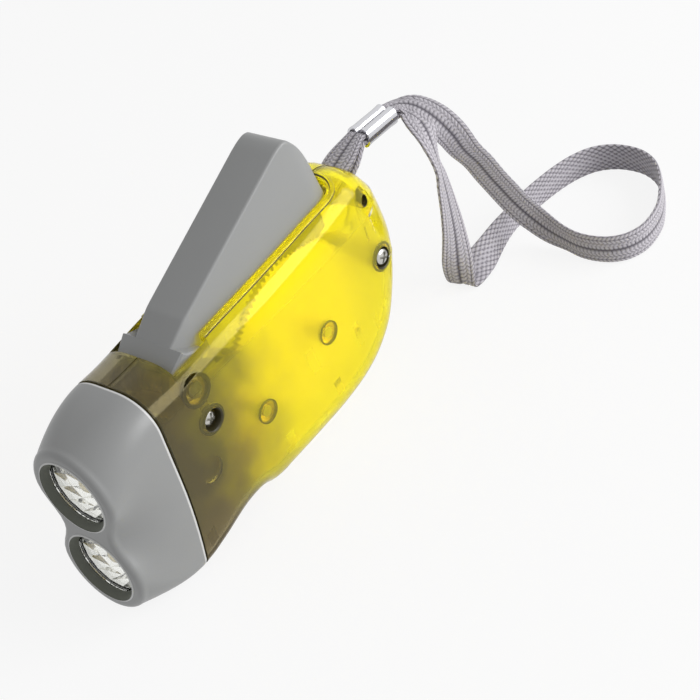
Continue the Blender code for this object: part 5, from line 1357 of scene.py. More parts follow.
        # painted highlight: the strips at the rear edge pale, a light line by the joint
        for face in cap.data.polygons[:self.highlight_strips * len(rings[0])]:
            face.material_index = GreySlot.LAST
        # painted shade: the cavity's faces in the shaded finish
        combine(cap, [paint_all(self.cavity(), GreySlot.ROUGH)], Joining.CUT)
        for place in self.places():
            # painted highlight: the ring round the mouth pale
            bead = paint_all(dress(self.lip_bead(), *self.finishes), GreySlot.LAST)
            combine(cap, [move(bead, self.facing(place))], Joining.ADD)
        for place in self.places():
            # painted shade: the recess walls in the shaded finish
            cutters = [paint_all(cutter, GreySlot.ROUGH) for cutter in self.recess_cutters(place)]
            combine(cap, cutters, Joining.CUT)
        shade(cap.data, sharp=self.sharp)
        self.torch.add(cap, "torch_body", "grey_plastic", "nose_cap")


@dataclass
class Lamps:
    """Lens, faceted reflector and lamp in each recess."""

    torch: Torch
    nose: Nose
    reflector_depth: float = 0.0058
    reflector_wall: float = 0.0007
    throat: float = 0.0029
    led: float = 0.0025
    led_length: float = 0.0066
    rim_inset: float = -0.0001
    facets: int = 13
    rows: int = 3
    led_seat: float = 0.0011
    led_flange: Point = (0.0029, 0.0008)
    cup: tuple = ((0.0003, 0.0030), (0.0011, 0.0028), (0.0012, 0.0018), (0.0005, 0.0012))
    lens_ease: float = 0.00015
    lens_steps: int = 72
    led_steps: int = 40
    dome_steps: int = 12
    cup_steps: int = 24

    def front(self) -> float:
        """How far behind the mouth the reflector begins."""
        return self.nose.recess + self.nose.lens_thickness + self.torch.layout.fit

    def lens(self) -> Piece:
        """A clear disc with an eased edge.

        Returns:
            The disc.
        """
        n, ease = self.nose, self.lens_ease
        low, high = n.recess, n.recess + n.lens_thickness
        profile = [(n.lens - ease, low), (n.lens, low + ease), (n.lens, high - ease), (n.lens - ease, high)]
        return dress(lathe("lens", profile, steps=self.lens_steps), Finishes.CLEAR_ACRYLIC)

    def reflector(self) -> Piece:
        """A bowl of flat panes, staggered from row to row.

        Returns:
            The bowl.
        """
        front, mouth = self.front(), self.nose.seat - self.rim_inset
        rings = []
        for row in range(self.rows + 1):
            share = row / self.rows
            radius = self.throat + (mouth - self.throat) * math.sqrt(1.0 - share)
            turns = [math.tau * (facet + 0.5 * row) / self.facets for facet in range(self.facets)]
            rings.append([(radius * math.cos(turn), front + share * self.reflector_depth, radius * math.sin(turn))
                          for turn in turns])
        grow = 1 + self.reflector_wall / mouth
        back = [[(x * grow, y, z * grow) for x, y, z in ring] for ring in reversed(rings)]
        return dress(loft("bowl", rings + back, closed=True, smooth=False), Finishes.METALLISED)

    def flange(self) -> Piece:
        """The reflector's flat ring against the lens, in black as painted shade: a dark ring round the lens.

        Returns:
            The ring.
        """
        front, mouth, out = self.front(), self.nose.seat - self.rim_inset, self.nose.lens
        loop = [(mouth, front), (out, front), (out, front + self.reflector_wall), (mouth, front + self.reflector_wall)]
        # painted shade: the flange in black
        return dress(lathe("flange", loop, steps=self.lens_steps, closed=True), Finishes.BLACK_ABS_AND_SHADE)

    def lamp(self) -> Piece:
        """A domed lamp with its flange.

        Returns:
            The lamp.
        """
        base = self.front() + self.reflector_depth + self.led_seat
        tip, (flange, height) = base - self.led_length, self.led_flange
        profile = [(self.led * math.sin(t), tip + self.led * (1.0 - math.cos(t)))
                   for t in np.linspace(0.0, 0.5 * math.pi, self.dome_steps)]
        profile += [(self.led, base - height), (flange, base - height), (flange, base)]
        return dress(lathe("lamp", profile, steps=self.led_steps), Finishes.CAST_EPOXY)

    def chip(self) -> Piece:
        """The phosphor cup inside the lamp, which shows pale yellow.

        Returns:
            The cup.
        """
        base = self.front() + self.reflector_depth
        profile = [(radius, base - back) for radius, back in self.cup]
        return dress(lathe("chip", profile, steps=self.cup_steps), Finishes.ACETAL)

    def build(self) -> None:
        """Makes one set for each recess."""
        for prefix, place in zip(("upper", "lower"), self.nose.places()):
            parts = (("lens", self.lens(), "lens_plastic", True),
                     ("reflector", self.reflector(), "reflector_chrome", True),
                     ("flange", self.flange(), "reflector_chrome", False),
                     ("led", self.lamp(), "lamp_resin", True), ("chip", self.chip(), "lamp_resin", False))
            for kind, item, slot, packed in parts:
                item.name = f"lamp_{prefix}_{kind}"
                move(item, self.nose.facing(place))
                self.torch.add(item, "torch_body", slot, *((f"{prefix}_{kind}",) if packed else ()))


# Lever

@dataclass
class HandLever:
    """Foot, long hollow arm, eye plates and toothed sector in one grey moulding."""

    torch: Torch
    body: ClearBody
    wall: float = 0.0014
    crest_half_width: float = 0.0057
    foot_top_z: float = 0.0446
    shoe: tuple = ((-0.0200, 0.0080, 0.0447), (-0.0160, 0.0086, 0.04735), (-0.0152, 0.0088, 0.0465),
                   (-0.0110, 0.0090, 0.0448))
    crease: Point = (-0.0106, 0.0506)
    crest: Point = (0.0248, 0.0657)
    tip: tuple = ((0.0266, 0.06635), (0.0284, 0.06675), (0.0298, 0.06665), (0.0308, 0.0660))
    fall: tuple = ((0.0328, 0.0632), (0.0344, 0.0594), (0.0357, 0.0548))
    tail_x: float = 0.0366
    tail_z: float = 0.0505
    tail_low_z: float = 0.0470
    rib: tuple = ((0.0160, 0.0450), (0.0294, 0.0416))
    rib_teeth: int = 9
    rib_tooth: float = 0.0009
    turn_x: float = 0.0308
    neck: float = 0.0009
    neck_length: float = 0.0120
    turn_in: float = 0.0026
    crest_round: float = 0.0009
    cheek_radius: float = 0.0034
    cheek_inner: float = 0.0046
    pressure: float = math.radians(20)
    backlash: float = 0.16
    sector_half: float = 0.0015
    sector_outer: float = 0.0063
    sector_web: float = 0.0067
    sector_tail: float = math.radians(1.2)
    web_start: float = math.radians(0.9)
    tooth_tip: float = 0.75
    tooth_root: float = 1.3
    tooth_spaces: int = 8
    outer_steps: int = 24
    corner: float = 0.0007
    corner_steps: int = 6
    least_corner: float = 0.0001
    back_share: float = 0.35
    crease_run: Point = (0.0012, 0.0014)
    crease_steps: int = 7
    rear_steps: int = 60
    least_height: float = 0.0008
    foot_ease: float = 0.0004
    roof_share: float = 1.1
    hollow_step: float = 0.0002
    hollow_drop: float = 0.0020
    eye_steps: int = 25
    eye_front: Point = (0.4, 0.5)
    rib_tooth_form: tuple = ((0.15, 0.0), (0.4, 1.0), (0.6, 1.0), (0.85, 0.0))
    rib_heel: tuple = ((0.0030, 0.0012), (0.0022, 0.0058))
    rib_inset: float = 0.0002
    rib_thick: float = 0.0008
    gear_notch: Point = (-0.0046, -0.0022)
    lock_notch: tuple = ((0.0176, 0.0059), (0.0176, 0.0079), (0.0222, 0.0079), (0.0222, 0.0059))
    lock_notch_half: float = 0.0019
    eye_bore: float = 0.0018
    round_steps: int = 40
    sharp: float = 30.0
    finishes: tuple = (Finishes.GREY_ABS, Finishes.SHADED_ABS, Finishes.BLACK_ABS_AND_SHADE)

    def top(self, x: float) -> float:
        """Height of the outer face."""
        front = (self.torch.layout.foot_front_x, self.foot_top_z)
        return float(np.interp(x, *zip(front, self.crease, self.crest)))

    def profile(self) -> np.ndarray:
        """The arm's upper line, from the foot over crease and crest, down the tail.

        Returns:
            Places (x, z).
        """
        front = (self.torch.layout.foot_front_x, self.foot_top_z)
        before, after = self.crease[0] - self.crease_run[0], self.crease[0] + self.crease_run[1]
        crease = smooth_line([(before, self.top(before)), self.crease, (after, self.top(after))], self.crease_steps)
        end = (self.tail_x, self.tail_low_z + self.hollow_step)
        rear = smooth_line([self.crest, *self.tip, *self.fall, end], self.rear_steps)
        return np.vstack([front, crease, rear])

    def half_width(self, x: float) -> float:
        """The arm's plan: even, then turning in at the tail.

        Args:
            x: Where along the arm.

        Returns:
            The half width there.
        """
        form = self.torch.layout
        share = max(0.0, (x - self.turn_x) / (self.tail_x - self.turn_x))
        ahead = max(0.0, 1.0 - (x - form.foot_front_x) / self.neck_length)
        return (form.lever_half_width - self.neck * ahead
                - self.turn_in * (1.0 - math.sqrt(max(0.0, 1.0 - share ** 2))))

    def section(self, x: float, top: float, low: float, inset: float) -> list:
        """A ring across the arm: upright up to the body's back, then leaning in to a rounded crest.

        Args:
            x: Where along the arm.
            top: Height of the crest.
            low: Height of the edge.
            inset: How far inside the skin.

        Returns:
            A ring of points.
        """
        wide, ease = self.half_width(x) - inset, max(self.least_corner, self.corner - inset)
        crest = wide - (self.torch.layout.lever_half_width - self.crest_half_width)
        back = min(self.body.back_height(x), low + self.back_share * (top - low))
        half = [(wide, low), (wide, back)]
        half += [(crest - ease * (1.0 - math.cos(a)), top - ease * (1.0 - math.sin(a)))
                 for a in np.linspace(0.0, 0.5 * math.pi, self.corner_steps)]
        return [(x, y, z) for y, z in half] + [(x, -y, z) for y, z in reversed(half)]

    def under(self, x: float) -> float:
        """Height of the arm's lower edge.

        Args:
            x: Where along the arm.

        Returns:
            The height.
        """
        form = self.torch.layout
        return float(np.interp(x, [form.foot_front_x, form.pivot[0] + self.cheek_radius, self.tail_x],
                               [form.foot_low_z, form.foot_low_z, self.tail_low_z]))

    def arm(self) -> Piece:
        """The outside of the arm, from the foot's front to the tail.

        Returns:
            The arm, not yet hollow.
        """
        rings = [self.section(x, max(top, self.under(x) + self.least_height), self.under(x), 0.0)
                 for x, top in self.profile()]
        return loft("satin_lever", rings)

    def foot(self) -> Piece:
        """The low shoe at the front, whose sides flare out over the body's slot.

        Returns:
            The shoe.
        """
        form = self.torch.layout
        low, ease = form.foot_low_z, self.foot_ease
        rings = []
        for x, half, top in self.shoe:
            side = [(half, low), (half, top - ease), (half - ease, top)]
            rings.append([(x, y, z) for y, z in side] + [(x, -y, z) for y, z in reversed(side)])
        return loft("foot", rings)

    def hollow(self) -> Piece:
        """What is left open inside the arm.

        Returns:
            The cutter.
        """
        form, wall = self.torch.layout, self.wall
        low, first, last = form.foot_low_z - self.body.overrun, form.foot_front_x + wall, self.tail_x - wall
        line = [(x, top - self.roof_share * wall) for x, top in self.profile() if first < x < last]
        line.insert(0, (first, self.foot_top_z - 0.2 * wall))
        line = [(x, z) for x, z in line if x < last - self.hollow_step] + [(last, line[-1][1] - self.hollow_drop)]
        return loft("hollow", [self.section(x, z, low, wall) for x, z in line])

    def cheek(self, side: float) -> Piece:
        """Eye plate that the hinge pin runs through.

        Args:
            side: -1 for the near side, 1 for the far one.

        Returns:
            The plate.
        """
        form, radius = self.torch.layout, self.cheek_radius
        x, z = form.pivot
        front, foot = (x - share * radius for share in self.eye_front)
        outline = [(x + radius * math.cos(a), z + radius * math.sin(a))
                   for a in np.linspace(math.pi, math.tau, self.eye_steps)]
        outline += [(x + radius, self.top(x) - self.crest_round), (front, self.top(front) - self.crest_round),
                    (foot, form.foot_low_z)]
        low, high = sorted((side * self.cheek_inner, side * (form.lever_half_width - 0.2 * self.wall)))
        return prism("cheek", outline, low, high)

    def sector(self) -> Piece:
        """Toothed sector hung from the roof. Its teeth point in, towards the hinge.

        Returns:
            The sector.
        """
        form = self.torch.layout
        module, teeth = form.sector_module, form.sector_teeth
        pitch = 0.5 * module * teeth
        tip, root = pitch - self.tooth_tip * module, pitch + self.tooth_root * module
        half, step = 0.5 * math.pi / teeth * (1.0 + self.backlash), math.tau / teeth
        outer, web = pitch + self.sector_outer, pitch - self.sector_web
        base = pitch * math.cos(self.pressure)

        def spot(radius: float, angle: float) -> Point:
            """A place round the hinge."""
            return (form.pivot[0] + radius * math.cos(angle), form.pivot[1] + radius * math.sin(angle))

        def flank(radius: float) -> float:
            """Half the angle of a space at a radius, on an involute."""
            at = math.acos(min(1.0, base / max(radius, base)))
            return half + math.tan(self.pressure) - self.pressure - math.tan(at) + at

        start = form.train_angle - step - self.sector_tail
        points = [spot(outer, start), spot(tip, start + 0.3 * self.sector_tail)]
        for space in range(self.tooth_spaces):
            middle = form.train_angle + step * (space - 1)
            points += [spot(r, middle - flank(r)) for r in (tip, pitch, root)]
            points += [spot(r, middle + flank(r)) for r in (root, pitch, tip)]
        end = form.train_angle + step * (self.tooth_spaces - 1)
        points += [spot(tip, end), spot(tip, self.web_start), spot(web, self.web_start)]
        share = (form.pivot[0] + web - self.crease[0]) / (self.crest[0] - self.crease[0])
        roof = self.crease[1] + share * (self.crest[1] - self.crease[1]) - 0.5 * self.wall
        points += [(form.pivot[0] + web, roof), (self.crest[0], self.crest[1] - 0.7 * self.wall),
                   (self.tip[-1][0] - self.wall, self.tip[-1][1] - self.wall),
                   (self.tail_x - 0.5 * self.wall, self.tail_z)]
        top = math.asin((self.tail_low_z - form.pivot[1]) / outer)
        points += [spot(outer, top + (start - top) * index / self.outer_steps) for index in range(self.outer_steps)]
        return prism("sector", points, -self.sector_half, self.sector_half)

    def toothed_rib(self) -> Piece:
        """The near wall's lower edge, black as painted shade, so that it shows through the body as a dark toothed
        wedge.

        Returns:
            The rib.
        """
        (x0, z0), (x1, z1) = self.rib
        points = [(x0, z0 + 2 * self.rib_tooth), (x0, z0)]
        for tooth in range(self.rib_teeth):
            for part, drop in self.rib_tooth_form:
                share = (tooth + part) / self.rib_teeth
                points.append((x0 + (x1 - x0) * share, z0 + (z1 - z0) * share + drop * self.rib_tooth))
        points += [(x1, z1), *((x1 + x, z1 + z) for x, z in self.rib_heel), (x1, self.tail_z)]
        outer = -self.torch.layout.lever_half_width + self.rib_inset
        return prism("rib", points, outer, outer + self.rib_thick)

    def build(self) -> None:
        """Makes the lever: arm and foot, hollowed, then the plates, sector and rib inside, and the bores."""
        form, over = self.torch.layout, self.body.overrun
        item = dress(self.arm(), *self.finishes)
        combine(item, [self.foot()], Joining.ADD)
        notch = block("gear_notch", (self.tail_x - 2 * self.wall, self.gear_notch[0], self.tail_low_z - over),
                      (self.tail_x + over, self.gear_notch[1], self.tail_z + over))
        # painted shade: the hollow's faces in the shaded finish
        combine(item, [paint_all(self.hollow(), GreySlot.ROUGH), notch], Joining.CUT)
        # painted shade: the eye plates and sector in the shaded finish
        works = [paint_all(dress(other, *self.finishes), GreySlot.ROUGH)
                 for other in (self.cheek(-1.0), self.cheek(1.0), self.sector())]
        # painted shade: the rib in black
        works.append(paint_all(dress(self.toothed_rib(), *self.finishes), GreySlot.LAST))
        combine(item, works, Joining.ADD)
        notch = prism("notch", form.turned(self.lock_notch, -form.swing), -self.lock_notch_half, self.lock_notch_half)
        bore = [(self.eye_bore, -form.width), (self.eye_bore, form.width)]
        combine(item, [notch, lathe("bore", bore, form.pivot, self.round_steps)], Joining.CUT)
        shade(item.data, sharp=self.sharp)
        self.torch.add(item, "lever_body", "grey_plastic", "lever")


# Small fittings

@dataclass
class Fittings:
    """Screws and pins."""

    torch: Torch
    head: float = 0.0020
    head_y: float = -0.0112
    head_height: float = 0.0014
    head_rim: float = 0.35
    head_steps: int = 8
    shank: float = 0.0011
    shank_end: float = 0.0038
    point: Point = (0.0004, 0.0050)
    outside: float = -0.0200
    cross_depth: float = 0.0008
    cross_reach: float = 0.65
    cross_half: float = 0.0003
    cross_turn: float = 0.5
    axle_end: float = 0.0103
    strap_pin_ends: Point = (-0.0094, 0.0098)
    screw_steps: int = 40
    pin_steps: int = 32
    pin_ease: float = 0.2

    def screw(self, name: str, centre: Point) -> None:
        """A pan-head screw with a cross recess, its head down in the body.

        Args:
            name: The node's name.
            centre: Its axis, (x, z).
        """
        head_end = self.head_y + self.head_height
        dome = [(self.head * math.sin(t),
                 head_end - self.head_height * (self.head_rim + (1.0 - self.head_rim) * math.cos(t)))
                for t in np.linspace(0.05, 0.5 * math.pi, self.head_steps)]
        profile = dome + [(self.head, head_end), (self.shank, head_end), (self.shank, self.shank_end), self.point]
        item = dress(lathe("screw_" + name, profile, centre, self.screw_steps), Finishes.NICKEL_STEEL)
        (x, z), high = centre, self.head_y + self.cross_depth
        long, half = self.cross_reach * self.head, self.cross_half
        turn = (Matrix.Translation((x, 0, z)) @ Matrix.Rotation(self.cross_turn, 4, "Y")
                @ Matrix.Translation((-x, 0, -z)))
        for wide, tall in ((long, half), (half, long)):
            cutter = block("cross", (x - wide, self.outside, z - tall), (x + wide, high, z + tall))
            combine(item, [move(cutter, turn)], Joining.CUT)
        shade(item.data)
        self.torch.add(item, "torch_body", "bright_steel", name)

    def pin(self, name: str, centre: Point, radius: float, ends: Point) -> None:
        """A turned pin with eased ends.

        Args:
            name: The node's name.
            centre: Its axis, (x, z).
            radius: Its radius.
            ends: Where it starts and ends, along Y.
        """
        (start, end), ease = ends, self.pin_ease * radius
        profile = [(radius - ease, start), (radius, start + ease), (radius, end - ease), (radius - ease, end)]
        item = dress(lathe("turned_" + name, profile, centre, self.pin_steps), Finishes.NICKEL_STEEL)
        self.torch.add(item, "torch_body", "bright_steel", name)

    def build(self) -> None:
        """Makes the fasteners that show."""
        form, ends = self.torch.layout, (-self.axle_end, self.axle_end)
        self.screw("front_screw", form.front_screw)
        self.screw("rear_screw", form.rear_screw)
        self.pin("lever_pivot_pin", form.pivot, form.pin_radius, ends)
        self.pin("strap_pin", form.strap_pin, form.strap_pin_radius, self.strap_pin_ends)
        self.pin("gear_axle", form.gear_centre(), form.axle_radius, ends)
        self.pin("rotor_axle", form.rotor_centre(), form.axle_radius, ends)


@dataclass
class Works:
    """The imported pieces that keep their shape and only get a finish."""

    torch: Torch
    finishes: tuple = (
        (Finishes.LAMINATE, ("lamp_board",)),
        (Finishes.BLACK_ABS_AND_SHADE, ("cell_holder", "slide_switch")),
        (Finishes.NICKEL_STEEL, ("button_cell_1", "button_cell_2", "button_cell_3", "cell_contact", "flywheel",
                                 "return_spring", "ratchet_pawl_1", "ratchet_pawl_2", "stator_core")),
        (Finishes.ACETAL, ("drive_pinion", "ratchet_gear", "rotor", "coil_bobbin")),
        (Finishes.FERRITE, ("rotor_magnet",)),
        (Finishes.COPPER_WINDING, ("coil_winding",)),
        (Finishes.GREY_ABS, ("switch_button", "lock_slider")))
    weld: float = 1e-6
    edge: float = 0.00025
    edge_steps: int = 3

    def build(self, nodes: dict) -> None:
        """Dresses the nodes, and breaks the sharp edges of the two controls.

        Args:
            nodes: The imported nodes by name.
        """
        for finish, names in self.finishes:
            for name in names:
                dress(nodes[name], finish)
                LOG.info("%s in %s", name, finish.value.name)
        for name in ("switch_button", "lock_slider"):
            weld = nodes[name].modifiers.new("weld", "WELD")
            weld.merge_threshold = self.weld
            bevel = nodes[name].modifiers.new("edges", "BEVEL")
            bevel.width, bevel.segments, bevel.limit_method = self.edge, self.edge_steps, "ANGLE"


# Wrist strap

@dataclass
class WristStrap:
    """A flat braided band from the pin through the sleeve, round the loop, and back."""

    torch: Torch
    width: float = 0.0075
    thickness: float = 0.0013
    layer_gap: float = 0.0003
    neck_share: float = 0.65
    gather_places: int = 2
    # turns of the fold behind the pin in degrees, and where the layers pass between window and sleeve
    fold: tuple = (166, 143, 116, 90)
    window_shares: Point = (0.35, 0.7)
    run_steps: int = 12
    path_every: int = 12
    sleeve_start: Point = (0.0562, 0.0483)
    sleeve_end: Point = (0.0668, 0.0475)
    sleeve_half_height: float = 0.0022
    lobe_out: float = 0.00148
    lobe_half_width: float = 0.00156
    lobe_steps: int = 20
    flare: tuple = (0.00012, 0.0, 0.0, 0.0, 0.0, 0.0, 0.00012)
    sleeve_wall: float = 0.0004
    sleeve_margin: float = 0.0012
    step: float = 0.00022
    stitch: float = 0.00100
    columns: int = 8
    weave_depth: float = 0.00026
    sides: int = 34
    # powers that square the band's section, across it and through it
    section_powers: Point = (0.72, 0.45)
    # the chevron face: how far its yarns lean, the powers of yarn and crown, the groove's depth and width
    lean: float = 0.42
    yarn_power: float = 0.6
    crown_power: float = 0.45
    groove: Point = (0.75, 0.055)
    # the basket face: yarns across and along against the chevron face, and its power
    basket: Point = (0.75, 0.5)
    basket_power: float = 0.55
    route: tuple = (
        ((0.0700, -0.0008, 0.0478), (-0.3, -0.95, 0)), ((0.0715, -0.0028, 0.0473), (-0.75, -0.6, -0.2)),
        ((0.0721, -0.0055, 0.0464), (-0.97, -0.2, -0.2)), ((0.0727, -0.0089, 0.0439), (-0.9, 0.2, -0.3)),
        ((0.0740, -0.0113, 0.0395), (-0.7, 0.6, -0.3)), ((0.0760, -0.0121, 0.0340), (-0.5, 0.8, -0.25)),
        ((0.0789, -0.0127, 0.0286), (-0.42, 0.88, -0.23)), ((0.0813, -0.0133, 0.0228), (-0.42, 0.88, -0.23)),
        ((0.0835, -0.0141, 0.0176), (-0.42, 0.85, -0.3)), ((0.0852, -0.0151, 0.0132), (-0.4, 0.8, -0.4)),
        ((0.0864, -0.0167, 0.0096), (-0.4, 0.7, -0.55)), ((0.0870, -0.0190, 0.0070), (-0.3, 0.55, -0.78)),
        ((0.0869, -0.0226, 0.0050), (-0.2, 0.3, -0.93)), ((0.0861, -0.0275, 0.0042), (0, 0.1, -1.0)),
        # flat over the floor, as (x, y)
        *(((x, y, 0.0041), (0, 0, -1.0)) for x, y in (
            (0.0850, -0.0325), (0.0852, -0.0372), (0.0865, -0.0410), (0.0893, -0.0440), (0.0940, -0.0456),
            (0.1008, -0.0449), (0.1072, -0.0421), (0.1122, -0.0390), (0.1163, -0.0352), (0.1187, -0.0306),
            (0.1192, -0.0257), (0.1183, -0.0214), (0.1159, -0.0176), (0.1118, -0.0148), (0.1069, -0.0130),
            (0.1014, -0.0118), (0.0950, -0.0109), (0.0882, -0.0107))),
        ((0.0820, -0.0110, 0.0040), (0, -0.2, -1.0)), ((0.0755, -0.0116, 0.0035), (0, -0.5, -0.85)),
        ((0.0706, -0.0113, 0.0025), (0, -0.85, -0.5)), ((0.0680, -0.0109, 0.0015), (0.1, -0.98, -0.12)),
        ((0.0665, -0.0106, 0.0013), (0.17, -0.98, 0)), ((0.0657, -0.0105, 0.0022), (0.25, -0.96, 0)),
        ((0.0659, -0.0104, 0.0060), (0.6, -0.8, 0)), ((0.0666, -0.0104, 0.0110), (0.9, -0.4, 0)),
        ((0.0671, -0.0106, 0.0165), (1.0, -0.09, 0)), ((0.0671, -0.0109, 0.0222), (0.99, 0.14, 0)),
        ((0.0670, -0.0111, 0.0270), (0.96, 0.29, 0)), ((0.0671, -0.0110, 0.0312), (0.91, 0.42, 0)),
        ((0.0672, -0.0108, 0.0345), (0.82, 0.56, 0)), ((0.0673, -0.0105, 0.0380), (0.86, 0.5, 0)),
        ((0.0677, -0.0098, 0.0412), (0.95, 0.3, 0)), ((0.0687, -0.0084, 0.0437), (1.0, 0.05, 0)),
        ((0.0698, -0.0060, 0.0454), (1.0, 0.2, 0)), ((0.0707, -0.0036, 0.0463), (0.8, 0.6, 0)),
        ((0.0698, -0.0012, 0.0467), (0.3, 0.95, 0)))

    def sleeve_line(self) -> tuple:
        """The sleeve's middle line.

        Returns:
            Start, end, the way along and the way up, all in (x, z).
        """
        start, end = np.array(self.sleeve_start), np.array(self.sleeve_end)
        ahead = (end - start) / np.linalg.norm(end - start)
        return start, end, ahead, np.array([-ahead[1], ahead[0]])

    def layer(self, side: float) -> list:
        """One layer from behind the pin to the sleeve's far end.

        Args:
            side: 1 for the upper layer, -1 for the lower one.

        Returns:
            A place, the way the face looks and a share of the width, for each.
        """
        form = self.torch.layout
        pin_at = np.array(form.strap_pin)
        bend = form.strap_pin_radius + form.fit + 0.5 * self.thickness
        lift = 0.5 * (self.thickness + self.layer_gap)
        start, end, ahead, up = self.sleeve_line()
        out = np.array([math.cos(form.window_rise), math.sin(form.window_rise)])
        high = np.array([-out[1], out[0]])
        spots = [(pin_at + bend * (math.cos(t) * out + side * math.sin(t) * high), 1.0)
                 for t in (math.radians(a) for a in self.fold)]
        for share in self.window_shares:
            off = side * (bend + (lift - bend) * share)
            spots.append((pin_at + form.window_reach * share * out + off * high, 1.0))
        margin = self.sleeve_margin * ahead
        for place in (start - margin, start, 0.5 * (start + end), end, end + margin):
            spots.append((place + side * lift * up, self.neck_share))
        return [((spot[0], 0.0, spot[1]), (0.0, -side, 0.0), width) for spot, width in spots]

    def stations(self) -> np.ndarray:
        """Even places on the strap's middle line.

        Returns:
            A place, the way its width points and its share of the width, row by row.
        """
        upper, lower = self.layer(1.0), self.layer(-1.0)[::-1]
        count = len(self.route)
        widths = np.interp(np.minimum(np.arange(count), np.arange(count)[::-1]),
                           [-1, self.gather_places], [self.neck_share, 1.0])
        free = [upper[-1]] + [(place, way, width) for (place, way), width in zip(self.route, widths)] + [lower[0]]
        runs = [rounded_line([[*p, *w, s] for p, w, s in run], self.run_steps) for run in (upper, free, lower)]
        line = np.vstack([runs[0][:-1], runs[1], runs[2][1:]])
        along = np.concatenate([[0.0], np.cumsum(np.linalg.norm(np.diff(line[:, :3], axis=0), axis=1))])
        wanted = np.linspace(0.0, along[-1], int(along[-1] / self.step))
        return np.stack([np.interp(wanted, along, line[:, c]) for c in range(line.shape[1])], 1)

    def outer_braid(self, along: np.ndarray, across: np.ndarray) -> np.ndarray:
        """Height of the chevron face, 0 in the valleys to 1, with a groove down its middle.

        Args:
            along: Lengths along the strap.
            across: From -1 to 1 over its width.

        Returns:
            The heights.
        """
        place = 0.5 * (across + 1.0) * self.columns
        column = np.clip(np.floor(place), 0, self.columns - 1)
        inside = 2.0 * (place - column) - 1.0
        way = np.where(column % 2 == 0, 1.0, -1.0)
        phase = along / self.stitch + self.lean * way * inside + 0.5 * (column // 2 % 2)
        yarn = np.abs(np.sin(math.pi * phase)) ** self.yarn_power
        crown = np.clip(1.0 - inside ** 2, 0.0, 1.0) ** self.crown_power
        deep, wide = self.groove
        return yarn * crown * (1.0 - deep * np.exp(-(across / wide) ** 2))

    def inner_braid(self, along: np.ndarray, across: np.ndarray) -> np.ndarray:
        """Height of the basket face, 0 to 1, where yarns cross on the skew.

        Args:
            along: Lengths along the strap.
            across: From -1 to 1 over its width.

        Returns:
            The heights.
        """
        across_share, along_share = self.basket
        wide = 0.5 * across * self.columns * across_share
        one = np.abs(np.sin(math.pi * (along / self.stitch * along_share + wide)))
        two = np.abs(np.sin(math.pi * (along / self.stitch * along_share - wide)))
        return (one * two) ** self.basket_power

    def build(self) -> Piece:
        """Sweeps the band and raises its braid.

        Returns:
            The strap, at its written place.
        """
        line = self.stations()
        place, way, share = line[:, :3], line[:, 3:6], line[:, 6]
        ahead = np.gradient(place, axis=0)
        ahead /= np.linalg.norm(ahead, axis=1)[:, None]
        way = way - ahead * np.sum(way * ahead, axis=1)[:, None]
        way /= np.linalg.norm(way, axis=1)[:, None]
        face = np.cross(ahead, way)
        along = np.arange(len(line)) * self.step
        half, thick = 0.5 * self.width, 0.5 * self.thickness
        turns = np.linspace(0.0, math.tau, 2 * self.sides, endpoint=False)
        flat, full = self.section_powers
        across = np.sign(np.cos(turns)) * np.abs(np.cos(turns)) ** flat
        lift = np.sign(np.sin(turns)) * np.abs(np.sin(turns)) ** full
        height = np.where(lift[None, :] > 0, self.inner_braid(along[:, None], across[None, :]),
                          self.outer_braid(along[:, None], across[None, :]))
        proud = thick - self.weave_depth * (1.0 - height)
        points = (place[:, None, :] + way[:, None, :] * (half * share[:, None] * across[None, :])[..., None]
                  + face[:, None, :] * (proud * lift[None, :])[..., None])
        item = loft("braided_wrist_strap", points.tolist())
        data = item.data.attributes.new("braid_height", "FLOAT", "POINT")
        data.data.foreach_set("value", height.reshape(-1).astype(np.float32)[:len(item.data.vertices)])
        dress(item, Finishes.BRAID)
        sleeve = self.sleeve()
        self.torch.add(sleeve, "torch_body", "ferrule_chrome", "strap_ferrule")
        self.torch.add(item, "torch_body", "grey_webbing", "wrist_strap")
        return item

    def sleeve(self) -> Piece:
        """The metal sleeve, pressed into two barrels side by side.

        Returns:
            The sleeve.
        """
        start, end, _, up = self.sleeve_line()
        reach = np.linspace(0.0, 1.0, len(self.flare))

        def ring(point: np.ndarray, grow: float) -> list:
            """One section: two lobes that meet in the middle."""
            lobe, wide, tall = self.lobe_out, self.lobe_half_width + grow, self.sleeve_half_height + grow
            meet = math.acos(max(-1.0, -lobe / wide))
            points = []
            for side in (1.0, -1.0):
                for turn in np.linspace(-meet, meet, self.lobe_steps, endpoint=False):
                    y = side * (lobe + wide * math.cos(turn))
                    lift = side * tall * math.sin(turn)
                    points.append((point[0] + up[0] * lift, y, point[1] + up[1] * lift))
            return points

        outer = [ring(start + (end - start) * r, g) for r, g in zip(reach, self.flare)]
        inner = [ring(start + (end - start) * r, -self.sleeve_wall) for r in reach[::-1]]
        return dress(loft("pressed_strap_ferrule", outer + inner, closed=True), Finishes.CHROME_BRASS)


# Studio

